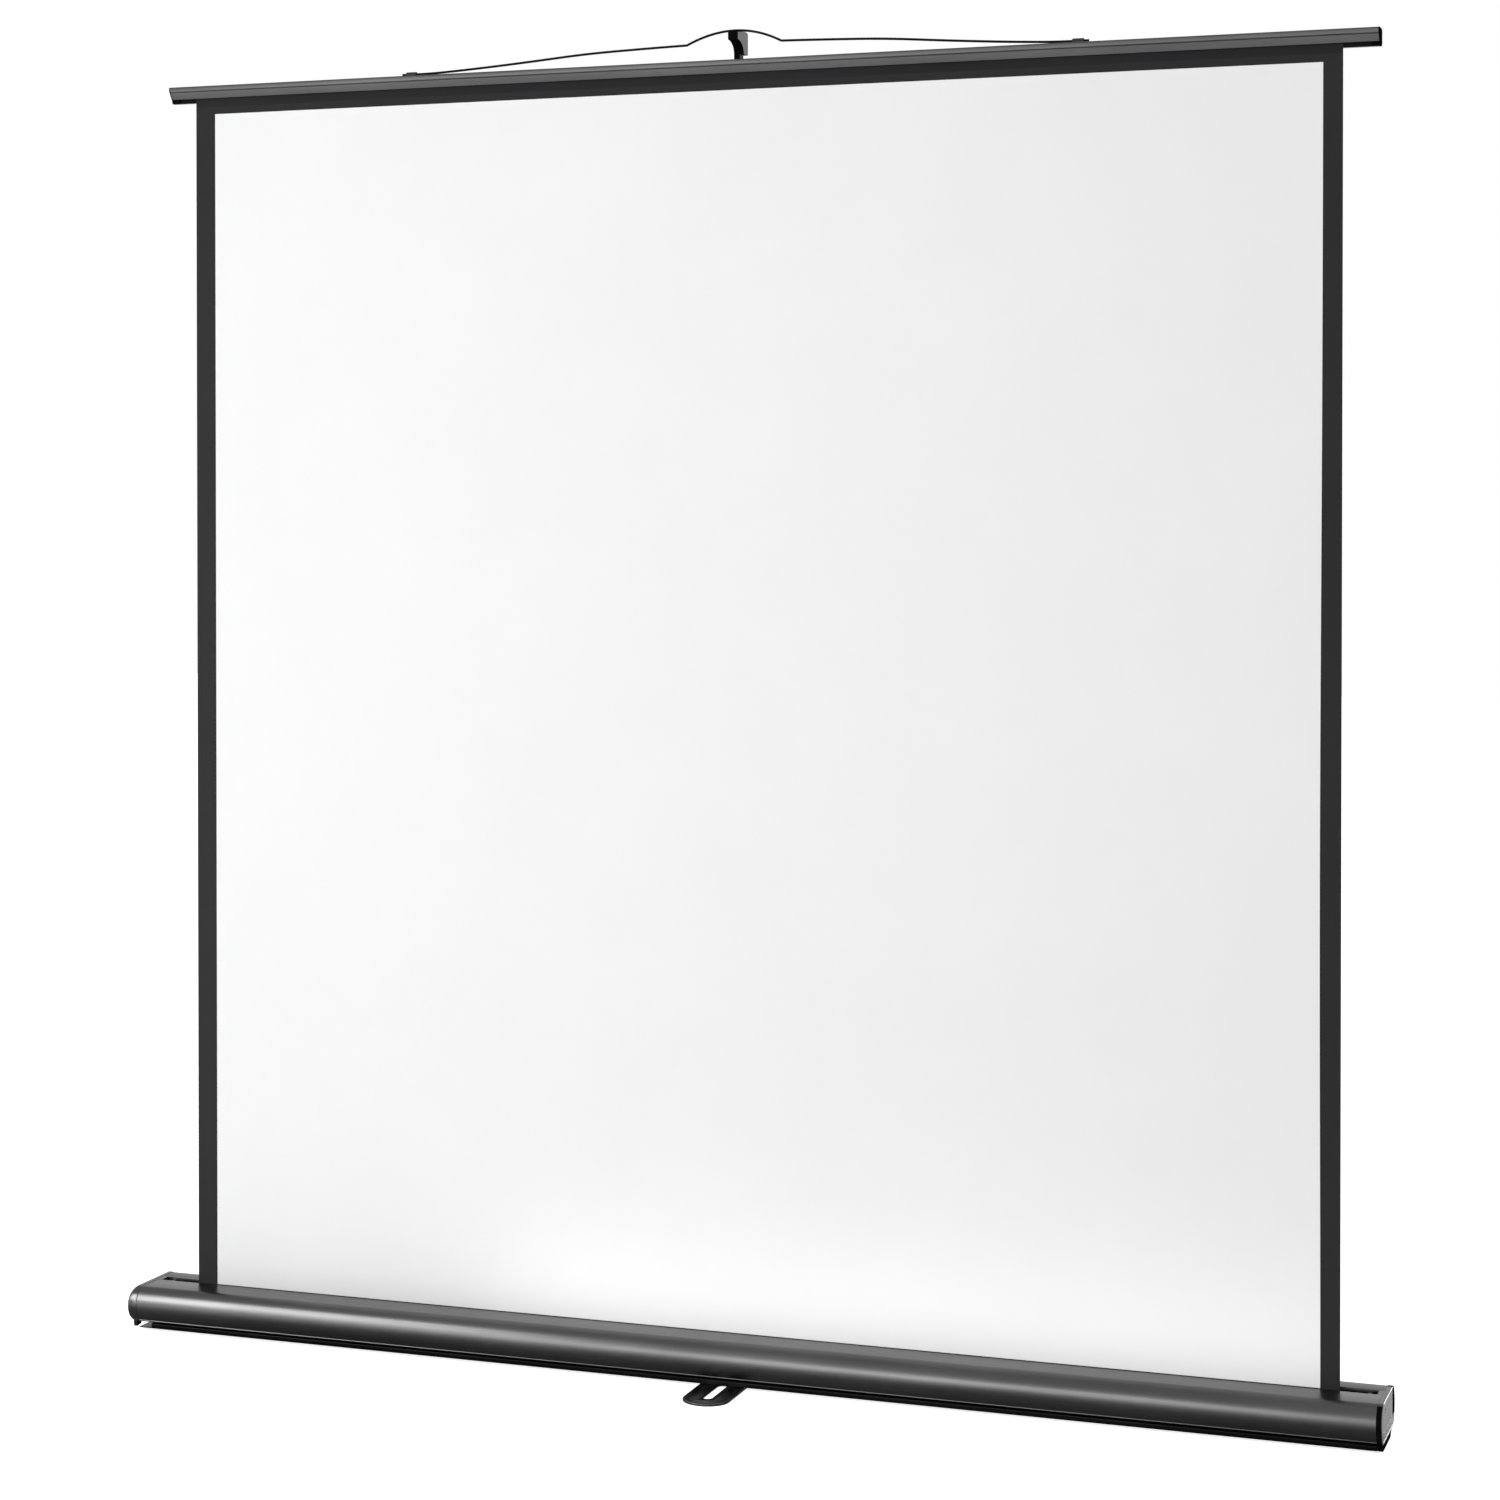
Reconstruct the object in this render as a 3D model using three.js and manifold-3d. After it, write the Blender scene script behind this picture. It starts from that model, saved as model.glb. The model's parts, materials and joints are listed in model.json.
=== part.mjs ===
// A portable pull-up projector screen: a flat-topped case on the floor holds a spring roller,
// the square fabric is pulled up out of a slot, and a telescopic mast behind it holds the top
// slat by its wire bail. Millimetres, +Z up, X along the screen, the picture side faces -Y.
// The origin is on the floor under the middle of the case, in the plane of the fabric.

import * as THREE from 'three';
import * as BufferGeometryUtils from 'three/addons/utils/BufferGeometryUtils.js';
import Module from 'manifold-3d';

const wasm = await Module();
wasm.setup();

// Fits shared by every piece
const gap = 0.3; // between pieces that touch or run on each other
const overrun = 2; // how far a cut runs past the face it opens
const roundSides = 24; // sides of a turned piece
const smallSides = 12; // sides of a screw or pin
const mergeDistance = 1e-4; // corners closer than this are one corner
const arcSteps = 8; // steps of a quarter round on a profile

// Screen
const fabricWidth = 1500;
const fabricThickness = 0.5;
const screenRise = 1557; // from the top of the case to the underside of the slat
const screenShift = 6; // screen, mast and foot stand this far right of the middle of the case

// Case profile, seen from its end
const caseSpare = 62; // the case is this much longer than the fabric is wide, at either end
const bodyHeight = 46;
const flatFront = 38; // the flat top reaches this far in front of the fabric
const flatRear = 38; // and this far behind it
const frontBulge = 18; // the front swells out this far past the flat top
const rearBulge = 12;
const underFront = 40; // where the rounded sides meet the flat underside
const underRear = 32;
const shellWall = 1.8;
const slotFront = 2; // the slot opens this far in front of the fabric
const slotRear = 16;
const slotLip = 3.4; // the slot's edges turn down this far below the top
const wiperWidth = 1.2; // strip on the rear edge of the slot
const wiperHeight = 2;
const wiperDrop = 1.4; // its top, below the top of the case

// Base rail under the case
const railHeight = 7;
const railFront = 39;
const railRear = 33;
const railBevel = 2.2;
const waistHeight = 2.2; // the narrow web between the rail and the case
const waistHalf = 18;
const railInset = 1; // the rail stops this far inside the left end of the case
const notchLength = 18; // over this length at the left only a thin plate is left of the rail
const notchPlate = 1.2;
const padRadius = 10;
const padInset = 32; // from the end of the case to the middle of a pad
const padSpread = 14; // from the fabric's plane to the middle of a pad

// End caps
const capLength = 7;
const capProud = 0.6; // the cap's rim stands this far out of the profile
const capBevel = 1.4;
const capCrown = 6; // the left end face bulges this far out at mid-height, the right one is flat
const plugLength = 14; // the cap's spigot inside the profile
const slotTabLength = 6; // a tab of the cap closes this much of the slot's end
const grooveWidth = 1;
const grooveDepth = 0.7;
const grooveRises = [0.5, 5.5]; // of the two grooves, above the underside of the case
const hookLegFront = 47;
const hookLegRear = 35;
const hookLegTaper = 2; // its front narrows by this much towards the floor
const hookLegDropFront = 6; // the left cap's small leg hangs this far below the case
const hookLegDropRear = 4.5;
const hookLegLength = 5;
const hookLegProud = 3; // its outer side stands this far past the case's length
const footLegFront = 38;
const footLegRear = 32;
const footLegBottomRear = 22;

// Cap screws and roller brackets
const capScrewInset = 28; // of a cap screw, from the fabric's plane to its middle
const capScrewDrop = 9; // below the top of the case
const screwRadius = 1.8;
const screwHeadRadius = 3.4;
const screwHeadHeight = 1.6;
const bracketThickness = 4;
const bracketMargin = 4; // of the bracket around the wound fabric

// Roller and its spring
const rollerRadius = 12.5;
const rollerWall = 1;
const rollerEndGap = 11; // from a bracket to the end of the tube
const rollerDrop = 24; // the roller's axis below the top of the case
const woundWraps = 3; // turns of fabric left on the roller
const plugDepth = 22; // how far a plug reaches into the tube
const axlePinRadius = 4;
const bushWall = 2.7;
const springShaftLength = 290;
const springHubLength = 14;
const springHubRadius = 9;
const springMeanRadius = 7.5;
const springWireRadius = 0.9;
const springCurls = 16;
const springCurlSteps = 8;
const springWireSides = 5;

// Swivel foot
const footThickness = 3;
const footHalfWidth = 29.5;
const footReach = 120; // from the pivot to either end
const footRounding = 26; // length of the rounded end
const footSlotWidth = 12;
const footSlotStart = 30; // slot ends, from the pivot
const footSlotEnd = 96;
const footPinRadius = 5;
const footPinHeadRadius = 9;
const footPinHeadHeight = 1.2;
const pushNutRadius = 8.5;
const pushNutHeight = 1.5;

// Mast
const mastSetback = 29; // the mast stands this far behind the fabric
const stageLength = 444;
const stageOverlap = 60; // how much of each stage stays in the one below
const mastRadii = [10, 8.6, 7.2]; // outer radii of the three tubes
const tubeWall = 1;
const rodRadius = 3.8;
const rodFootLength = 24; // the thicker guide at the foot of the rod
const collarWall = 3;
const collarHeight = 22;
const collarRise = 6; // the collar stands this far above its tube
const ribCount = 8; // grip ribs around a collar
const ribRadius = 1.2;
const ribSides = 6;
const socketHeight = 40;
const socketWall = 2;
const socketFloor = 4;
const flangeLength = 64;
const flangeHeight = 3;
const flangeFront = 18; // the flange lies between these distances behind the fabric
const flangeRear = 38;
const flangeScrewSpread = 24;
const knobRadius = 9;
const knobLength = 11;
const knobHeight = 24; // of the knob's axis, above the top of the case
const knobScrewRadius = 2.5;
const knobLobes = 6;
const knobLobeRadius = 2.4;

// Top slat
const slatSpare = 39.5; // the slat is this much longer than the fabric is wide, at either end
const slatShift = 4; // the slat sits this far right of the middle of the fabric
const slatHeight = 21;
const slatDepth = 20;
const slatRearRounding = 4;
const noseRounding = 1.8;
const noseHeight = 6.4; // the light band along the top of the slat's front
const noseLean = 0.6; // the band's foot lies this far behind its front
const noseStep = 1.6; // and the face below it starts this far behind
const lipReach = 3.4; // front of the lip that the face runs down to, from the fabric's plane
const lipThickness = 2.2;
const slatCapLength = 2;
const slatCapBulge = 1;
const slatSpigotLength = 14;
const slatToeLength = 9; // a toe of the cap closes this much of the gap under the lip
const toeRounding = 1.6;
const slatSlotWidth = 2.4;
const slatWall = 1.4;
const hemDrop = 9.5; // of the fabric's rod, below the top of the slat
const pocketRadius = 3.9;
const hemRodRadius = 2.2;
const hemRadius = 3.2; // outside of the fabric's loop round its rod

// Wire bail and the mast's hook
const bailWireRadius = 1.35;
const bailAxisRise = 2.3; // of the bail's pivots, above the slat
const bailApex = 36.8; // height of the hump over the pivots
const bailSetback = 9; // the raised bail leans back onto the hook by this much at its hump
const bailPivotHalf = 430;
const bailEndLength = 20;
const bailKinkHalf = 62;
const bailKinkHeight = 20.2;
// a distance from the middle as a share of the pivot's, and a height as a share of the kink's
const bailArmShares = [
  [0.93, 0.03], [0.8, 0.19], [0.65, 0.43], [0.5, 0.7], [0.41, 0.82], [0.31, 0.9], [0.22, 0.96],
];
const bailHumpShares = [0.85, 0.6, 0.35, 0.15]; // places along the hump, as shares of the kink's
const bailSteps = 96;
const bailSides = 8;
const anchorLength = 14;
const anchorHalfWidth = 4;
const anchorHeight = 5.4;
const hookSeat = 0.6; // between the wire's crown and the hook's head
const hookWidth = 13;
const hookRear = 39; // hook sizes are distances behind the fabric and heights above the slat
const hookFoot = 10.5;
const hookRearTop = 38.5;
const hookFront = 1.5;
const hookHeadBottom = 26;
const hookBoreDepth = 19;
const tongueThickness = 1.2;
const tongueWidth = 7;
const tongueDrop = 12.5; // the hook's thin tongue hangs this far below the hook's foot

// Levels and places that follow from the sizes above
const caseLength = fabricWidth + 2 * caseSpare;
const slatLength = fabricWidth + 2 * slatSpare;
const bailLean = Math.asin(bailSetback / bailApex);
const railBottom = footThickness + gap;
const railTop = railBottom + railHeight;
const bodyBottom = railTop + waistHeight;
const caseTop = bodyBottom + bodyHeight;
const bodyMiddle = (caseTop + bodyBottom) / 2;
const shellHalf = caseLength / 2 - capLength;
const bracketOuter = shellHalf - plugLength - gap;
const bracketInner = bracketOuter - bracketThickness;
const rollerHalf = bracketInner - rollerEndGap;
const woundRadius = rollerRadius + gap + woundWraps * fabricThickness;
const rollerY = fabricThickness / 2 + gap + woundRadius;
const rollerZ = caseTop - rollerDrop;
const slatBottom = caseTop + screenRise;
const slatTop = slatBottom + slatHeight;
const hemRise = slatHeight - hemDrop; // above the underside of the slat
const lipLow = hemRise - pocketRadius - lipThickness;
const tubeInner = (index) => mastRadii[index] - tubeWall;
const stageRise = stageLength - stageOverlap;
const mastFoot = caseTop + socketFloor;

// Colours and finishes
function finish(color, roughness, metalness) {
  return new THREE.MeshStandardMaterial({ color, roughness, metalness });
}

const darkAluminium = finish(0x3a3b3d, 0.38, 0.7);
const blackAluminium = finish(0x161617, 0.4, 0.7);
const blackPlastic = finish(0x141415, 0.5, 0);
const blackEnamel = finish(0x151516, 0.4, 0.3);
const plainSteel = finish(0x9a9c9e, 0.35, 0.9);
const galvanised = finish(0x8f9294, 0.5, 0.8);
const screenCloth = finish(0xf2f2f2, 0.9, 0);
const blackRubber = finish(0x1a1a1a, 0.85, 0);
const whiteNylon = finish(0xd9d8d2, 0.55, 0);
const greyFelt = finish(0x55565a, 0.95, 0);

// Booleans on closed meshes
function toSolid(geometry) {
  const bare = geometry.clone();
  bare.deleteAttribute('normal');
  bare.deleteAttribute('uv');
  const merged = BufferGeometryUtils.mergeVertices(bare, mergeDistance);
  return new wasm.Manifold(new wasm.Mesh({
    numProp: 3,
    vertProperties: new Float32Array(merged.attributes.position.array),
    triVerts: new Uint32Array(merged.index.array),
  }));
}

function toGeometry(solid) {
  const mesh = solid.getMesh();
  const geometry = new THREE.BufferGeometry();
  geometry.setAttribute('position', new THREE.BufferAttribute(mesh.vertProperties, 3));
  geometry.setIndex(new THREE.BufferAttribute(mesh.triVerts, 1));
  return geometry;
}

function combine(base, { add = [], cut = [], within = [] }) {
  let solid = toSolid(base);
  for (const piece of within) solid = solid.intersect(toSolid(piece));
  for (const piece of add) solid = solid.add(toSolid(piece));
  for (const piece of cut) solid = solid.subtract(toSolid(piece));
  return toGeometry(solid);
}

// Shapes
const point = (a, b) => new THREE.Vector2(a, b);

// an outline in the plane of Y and Z, carried along X from one end to the other
function profileAlongX(outline, from, to) {
  const shape = new THREE.Shape(outline);
  const geometry = new THREE.ExtrudeGeometry(shape, { depth: to - from, bevelEnabled: false });
  return turnToX(geometry).translate(from, 0, 0);
}

// shape x, y and depth become Y, Z and X
function turnToX(geometry) {
  const turn = new THREE.Matrix4().makeBasis(
    new THREE.Vector3(0, 1, 0), new THREE.Vector3(0, 0, 1), new THREE.Vector3(1, 0, 0));
  return geometry.applyMatrix4(turn);
}

function plate(outline, holes, bottom, height) {
  const shape = new THREE.Shape(outline);
  shape.holes = holes.map((hole) => new THREE.Path(hole));
  const geometry = new THREE.ExtrudeGeometry(shape, { depth: height, bevelEnabled: false });
  return geometry.translate(0, 0, bottom);
}

function box(lowX, highX, lowY, highY, lowZ, highZ) {
  const geometry = new THREE.BoxGeometry(highX - lowX, highY - lowY, highZ - lowZ);
  return geometry.translate((lowX + highX) / 2, (lowY + highY) / 2, (lowZ + highZ) / 2);
}

// a turned piece about Z, from pairs of radius and height that start and end on the axis
function turned(pairs, sides) {
  const profile = pairs.map(([radius, height]) => point(radius, height));
  return new THREE.LatheGeometry(profile, sides).rotateX(Math.PI / 2);
}

function disc(radius, low, high, sides = roundSides) {
  return turned([[0, low], [radius, low], [radius, high], [0, high]], sides);
}

function ring(inner, outer, low, high, sides = roundSides) {
  return turned([[inner, low], [outer, low], [outer, high], [inner, high], [inner, low]], sides);
}

const alongX = (geometry) => geometry.rotateY(Math.PI / 2); // Z becomes X
const alongY = (geometry) => geometry.rotateX(-Math.PI / 2); // Z becomes Y

// points of a quarter ellipse about a centre, from one angle to another
function quarter(centreY, centreZ, radiusY, radiusZ, fromTurns) {
  const points = [];
  for (let step = 0; step <= arcSteps; step += 1) {
    const angle = (fromTurns + step / arcSteps / 4) * 2 * Math.PI;
    points.push(point(centreY + radiusY * Math.cos(angle), centreZ + radiusZ * Math.sin(angle)));
  }
  return points;
}

const root = new THREE.Group();

function addPiece(parent, name, geometry, material) {
  const mesh = new THREE.Mesh(geometry, material);
  mesh.name = name;
  parent.add(mesh);
  return mesh;
}

function addGroup(parent, x, y, z) {
  const group = new THREE.Group();
  group.position.set(x, y, z);
  parent.add(group);
  return group;
}

// Outline of the case body, counted from the rear end of its top round the back, the underside
// and the front; an inset makes it smaller all round
function bodyOutline(inset) {
  const half = bodyHeight / 2 - inset;
  const rearMost = flatRear + rearBulge - inset;
  const frontMost = flatFront + frontBulge - inset;
  return [
    ...quarter(flatRear, bodyMiddle, rearMost - flatRear, half, 0).reverse(),
    ...quarter(underRear, bodyMiddle, rearMost - underRear, half, 3 / 4).reverse().slice(1),
    ...quarter(-underFront, bodyMiddle, frontMost - underFront, half, 1 / 2).reverse(),
    ...quarter(-flatFront, bodyMiddle, frontMost - flatFront, half, 1 / 4).reverse().slice(1),
  ];
}

// the slot's two edges turn down into lips
function caseShell() {
  const outer = bodyOutline(0);
  const inner = bodyOutline(shellWall).reverse();
  const ceiling = caseTop - shellWall;
  const lipLow = caseTop - slotLip;
  return profileAlongX([
    point(slotRear, caseTop), ...outer, point(-slotFront, caseTop),
    point(-slotFront, lipLow), point(-slotFront - shellWall, lipLow),
    point(-slotFront - shellWall, ceiling), ...inner, point(slotRear + shellWall, ceiling),
    point(slotRear + shellWall, lipLow), point(slotRear, lipLow),
  ], -shellHalf, shellHalf);
}

function baseRail() {
  const leftEnd = -caseLength / 2 + railInset + gap;
  const rightEnd = shellHalf - gap;
  const rail = profileAlongX([
    point(-railFront, railBottom), point(railRear, railBottom),
    point(railRear, railTop - railBevel), point(railRear - railBevel, railTop),
    point(waistHalf, railTop), point(waistHalf, bodyBottom),
    point(-waistHalf, bodyBottom), point(-waistHalf, railTop),
    point(-railFront + railBevel, railTop), point(-railFront, railTop - railBevel),
  ], leftEnd, rightEnd);
  const notch = box(
    leftEnd - overrun, leftEnd + notchLength, -railFront - overrun, railRear + overrun,
    railBottom + notchPlate, bodyBottom + overrun);
  const pinHole = disc(footPinRadius + gap, railBottom - overrun, bodyBottom + overrun);
  const nutPocket = disc(
    pushNutRadius + gap, bodyBottom - pushNutHeight - 2 * gap, bodyBottom + overrun);
  pinHole.translate(screenShift, 0, 0);
  nutPocket.translate(screenShift, 0, 0);
  return combine(rail, { cut: [notch, pinHole, nutPocket] });
}

const capScrewPlaces = [-capScrewInset, capScrewInset].map((y) => [y, caseTop - capScrewDrop]);

// a round hole along X at each of the cap screws
function capScrewHoles(radius, from, to) {
  return capScrewPlaces.map(([y, z]) => alongX(disc(radius, from, to, smallSides)).translate(0, y, z));
}

// how far the left cap's end face stands out past the case's length at a height
function crownAt(height) {
  const share = (height - bodyMiddle) / (bodyHeight / 2 + capProud);
  return capCrown * (1 - share * share);
}

// all that lies inside the end face's crown, an outline in X and Z carried along Y
function insideCrown() {
  const half = bodyHeight / 2 + capProud;
  const outline = [point(0, bodyMiddle + half), point(0, bodyMiddle - half)];
  for (let step = -arcSteps; step <= arcSteps; step += 1) {
    const height = bodyMiddle + half * (step / arcSteps);
    outline.push(point(caseLength / 2 + crownAt(height), height));
  }
  const depth = flatFront + frontBulge + flatRear + rearBulge + 2 * overrun;
  const geometry = new THREE.ExtrudeGeometry(new THREE.Shape(outline), { depth, bevelEnabled: false });
  return geometry.rotateX(Math.PI / 2).translate(0, flatRear + rearBulge + overrun, 0);
}

// the part of a cap that plugs into the case, cut away round the slot's lips, with a tab between them
function capSpigot() {
  const spigot = profileAlongX(bodyOutline(shellWall + gap), bracketOuter + gap, shellHalf + capBevel);
  const lips = box(
    bracketOuter, shellHalf, -slotFront - shellWall - gap, slotRear + shellWall + gap,
    caseTop - slotLip - gap, caseTop + overrun);
  const tab = box(
    shellHalf - slotTabLength, shellHalf + capBevel, gap - slotFront, slotRear - gap,
    caseTop - slotLip - overrun, caseTop);
  return combine(combine(spigot, { cut: [lips] }), { add: [tab] });
}

// end caps are built at the right end and mirrored for the left, which has another face and leg
function endCap(side) {
  const face = caseLength / 2;
  const rim = new THREE.ExtrudeGeometry(new THREE.Shape(bodyOutline(-capProud)), {
    depth: side > 0 ? capLength - 2 * capBevel : capLength + capCrown,
    bevelThickness: capBevel, bevelSize: capBevel, bevelOffset: -capBevel, bevelSegments: 2,
  });
  turnToX(rim).translate(shellHalf + capBevel, 0, 0);
  const body = side > 0 ? rim : combine(rim, { within: [insideCrown()] });
  const legTop = bodyBottom + shellWall;
  const leg = side > 0
    ? profileAlongX([
      point(-footLegFront, railBottom), point(footLegBottomRear, railBottom),
      point(footLegRear, railTop), point(underRear - shellWall, legTop), point(-footLegFront, legTop),
    ], shellHalf, face - capBevel)
    : profileAlongX([
      point(-hookLegFront + hookLegTaper, bodyBottom - hookLegDropFront),
      point(-hookLegRear, bodyBottom - hookLegDropRear),
      point(-hookLegRear, legTop), point(-hookLegFront, legTop),
    ], face + hookLegProud - hookLegLength, face + hookLegProud);
  const out = face + capCrown + overrun;
  const grooves = side > 0 ? grooveRises.map((rise) => {
    const low = legTop + rise;
    return box(face - grooveDepth, out, -flatFront, underRear, low, low + grooveWidth);
  }) : [];
  const holes = capScrewHoles(screwRadius + gap, bracketInner, out);
  const sinks = capScrewHoles(screwHeadRadius + gap, face - screwHeadHeight - gap, out);
  const geometry = combine(body, { add: [capSpigot(), leg], cut: [...grooves, ...holes, ...sinks] });
  return side > 0 ? geometry : mirrored(geometry);
}

function mirrored(geometry) {
  const flipped = geometry.scale(-1, 1, 1);
  const index = flipped.index.array;
  for (let corner = 0; corner < index.length; corner += 3) {
    const kept = index[corner];
    index[corner] = index[corner + 1];
    index[corner + 1] = kept;
  }
  return flipped;
}

function rollerBracket() {
  const reach = woundRadius + bracketMargin;
  const ceiling = caseTop - slotLip - gap;
  const floor = bodyBottom + shellWall + gap;
  const outline = [
    point(-capScrewInset - screwHeadRadius, ceiling), point(-capScrewInset - screwHeadRadius, rollerZ),
    point(rollerY - reach, floor), point(rollerY + reach, floor),
    point(rollerY + reach, rollerZ), point(rollerY + reach, ceiling),
  ];
  const body = profileAlongX(outline, bracketInner, bracketOuter);
  const from = bracketInner - overrun;
  const to = bracketOuter + overrun;
  const seat = alongX(disc(axlePinRadius + bushWall + 2 * gap, from, to));
  seat.translate(0, rollerY, rollerZ);
  const holes = capScrewHoles(screwRadius + gap, from, to);
  return combine(body, { cut: [seat, ...holes] });
}

function capScrew() {
  const face = caseLength / 2;
  return alongX(turned([
    [0, bracketInner + gap], [screwRadius, bracketInner + gap], [screwRadius, face - screwHeadHeight],
    [screwHeadRadius, face - screwHeadHeight], [screwHeadRadius, face - gap], [0, face - gap],
  ], smallSides));
}

// Case, its ends and what is fixed in it
function buildCase(parent) {
  addPiece(parent, 'case_shell', caseShell(), darkAluminium);
  addPiece(parent, 'base_rail', baseRail(), blackAluminium);
  addPiece(parent, 'slot_wiper', box(
    gap - bracketInner, bracketInner - gap,
    slotRear - wiperWidth - gap, slotRear - gap,
    caseTop - wiperDrop - wiperHeight, caseTop - wiperDrop), greyFelt);
  for (const [label, side] of [['left', -1], ['right', 1]]) {
    addPiece(parent, `end_cap_${label}`, endCap(side), blackPlastic);
    const bracket = rollerBracket();
    addPiece(parent, `roller_bracket_${label}`, side > 0 ? bracket : mirrored(bracket), galvanised);
    const bore = axlePinRadius + gap;
    const bush = alongX(ring(bore, bore + bushWall, bracketInner, bracketOuter));
    bush.translate(0, rollerY, rollerZ);
    addPiece(parent, `bracket_bush_${label}`, side > 0 ? bush : mirrored(bush), whiteNylon);
    capScrewPlaces.forEach(([y, z], index) => {
      const screw = addPiece(parent, `cap_screw_${label}_${index + 1}`, capScrew(), plainSteel);
      screw.position.set(0, y, z);
      if (side < 0) screw.rotation.z = Math.PI;
    });
  }
  const padX = caseLength / 2 - padInset;
  for (const [label, x] of [['left', -padX], ['right', padX]]) {
    for (const [place, y] of [['front', -padSpread], ['rear', padSpread]]) {
      const name = `rubber_pad_${label}_${place}`;
      addPiece(parent, name, disc(padRadius, 0, railBottom), blackRubber).position.set(x, y, 0);
    }
  }
}

// one unbroken helix of round wire about Z, with flat ends
function helix(meanRadius, wireRadius, curls, steps, sides, length) {
  const total = curls * steps;
  const positions = [];
  const slope = Math.atan2(length / curls, 2 * Math.PI * meanRadius);
  for (let step = 0; step <= total; step += 1) {
    const turn = (step / steps) * 2 * Math.PI;
    const outward = new THREE.Vector3(Math.cos(turn), Math.sin(turn), 0);
    const along = new THREE.Vector3(-Math.sin(turn), Math.cos(turn), 0).multiplyScalar(-Math.sin(slope));
    along.z = Math.cos(slope);
    const centre = outward.clone().multiplyScalar(meanRadius);
    centre.z = (step / total) * length;
    for (let side = 0; side < sides; side += 1) {
      const angle = (side / sides) * 2 * Math.PI;
      const spot = centre.clone()
        .addScaledVector(outward, wireRadius * Math.cos(angle))
        .addScaledVector(along, wireRadius * Math.sin(angle));
      positions.push(spot.x, spot.y, spot.z);
    }
  }
  const index = [];
  for (let step = 0; step < total; step += 1) {
    for (let side = 0; side < sides; side += 1) {
      const a = step * sides + side;
      const b = step * sides + ((side + 1) % sides);
      index.push(a, a + sides, b, b, a + sides, b + sides);
    }
  }
  const last = total * sides;
  for (let side = 1; side < sides - 1; side += 1) {
    index.push(0, side, side + 1);
    index.push(last, last + side + 1, last + side);
  }
  const geometry = new THREE.BufferGeometry();
  geometry.setAttribute('position', new THREE.Float32BufferAttribute(positions, 3));
  geometry.setIndex(index);
  return geometry;
}

// Spring roller; its group lies on the roller's axis
function buildRoller(parent) {
  const axis = addGroup(parent, 0, rollerY, rollerZ);
  const tubeInside = rollerRadius - rollerWall;
  const plugRadius = tubeInside - gap;
  const plugEnd = rollerHalf - plugDepth;
  const tube = alongX(ring(tubeInside, rollerRadius, -rollerHalf, rollerHalf));
  addPiece(axis, 'roller_tube', tube, galvanised);
  const wound = addPiece(axis, 'wound_fabric', alongX(
    ring(rollerRadius + gap, woundRadius, -fabricWidth / 2, fabricWidth / 2)), screenCloth);
  wound.position.x = screenShift;
  const bore = axlePinRadius + gap;
  addPiece(axis, 'roller_plug_right', alongX(ring(bore, plugRadius, plugEnd, rollerHalf)), whiteNylon);
  addPiece(axis, 'roller_plug_left', alongX(ring(bore, plugRadius, -rollerHalf, -plugEnd)), whiteNylon);
  addPiece(axis, 'axle_pin', alongX(disc(axlePinRadius, plugEnd, bracketOuter)), plainSteel);
  const shaftEnd = -bracketOuter + springShaftLength;
  addPiece(axis, 'spring_shaft', alongX(disc(axlePinRadius, -bracketOuter, shaftEnd)), plainSteel);
  const hub = alongX(ring(bore, springHubRadius, shaftEnd - springHubLength, shaftEnd));
  addPiece(axis, 'spring_hub', hub, whiteNylon);
  const springFrom = -plugEnd + gap + springWireRadius;
  const springTo = shaftEnd - springHubLength - gap - springWireRadius;
  const spring = alongX(helix(
    springMeanRadius, springWireRadius, springCurls, springCurlSteps, springWireSides,
    springTo - springFrom));
  addPiece(axis, 'torsion_spring', spring, plainSteel).position.x = springFrom;
  const pitch = (springTo - springFrom) / springCurls;
  console.log(`torsion spring: least gap between curls ${(pitch - 2 * springWireRadius).toFixed(2)} mm`);
}

// Swivel foot; its group stands on the floor at the foot's pivot
function footPlate() {
  const outline = [];
  const slots = [];
  const sideEnd = footReach - footRounding;
  for (const end of [1, -1]) {
    for (let step = 0; step <= 2 * arcSteps; step += 1) {
      const angle = (step / arcSteps / 2) * Math.PI;
      const x = footHalfWidth * Math.cos(angle);
      const y = sideEnd + footRounding * Math.sin(angle);
      outline.push(point(end * x, end * y));
    }
    const half = footSlotWidth / 2;
    const slot = [];
    for (const [from, sign] of [[footSlotEnd - half, 1], [footSlotStart + half, -1]]) {
      for (let step = 0; step <= arcSteps; step += 1) {
        const angle = (step / arcSteps) * Math.PI;
        const x = sign * half * Math.cos(angle);
        const y = from + sign * half * Math.sin(angle);
        slot.push(point(end * x, end * y));
      }
    }
    slots.push(slot);
  }
  const blank = plate(outline, slots, 0, footThickness);
  const pinHole = disc(footPinRadius + gap, -overrun, footThickness + overrun);
  const headSink = disc(footPinHeadRadius + gap, -overrun, footPinHeadHeight + 2 * gap);
  return combine(blank, { cut: [pinHole, headSink] });
}

function buildFoot(parent) {
  const pivot = addGroup(parent, screenShift, 0, 0);
  addPiece(pivot, 'foot_plate', footPlate(), blackEnamel);
  const nutLow = bodyBottom - pushNutHeight - gap;
  addPiece(pivot, 'foot_pin', turned([
    [0, gap], [footPinHeadRadius, gap], [footPinHeadRadius, gap + footPinHeadHeight],
    [footPinRadius, gap + footPinHeadHeight], [footPinRadius, bodyBottom - gap], [0, bodyBottom - gap],
  ], roundSides), plainSteel);
  addPiece(pivot, 'foot_push_nut', ring(
    footPinRadius + gap, pushNutRadius, nutLow, nutLow + pushNutHeight), plainSteel);
}

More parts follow.
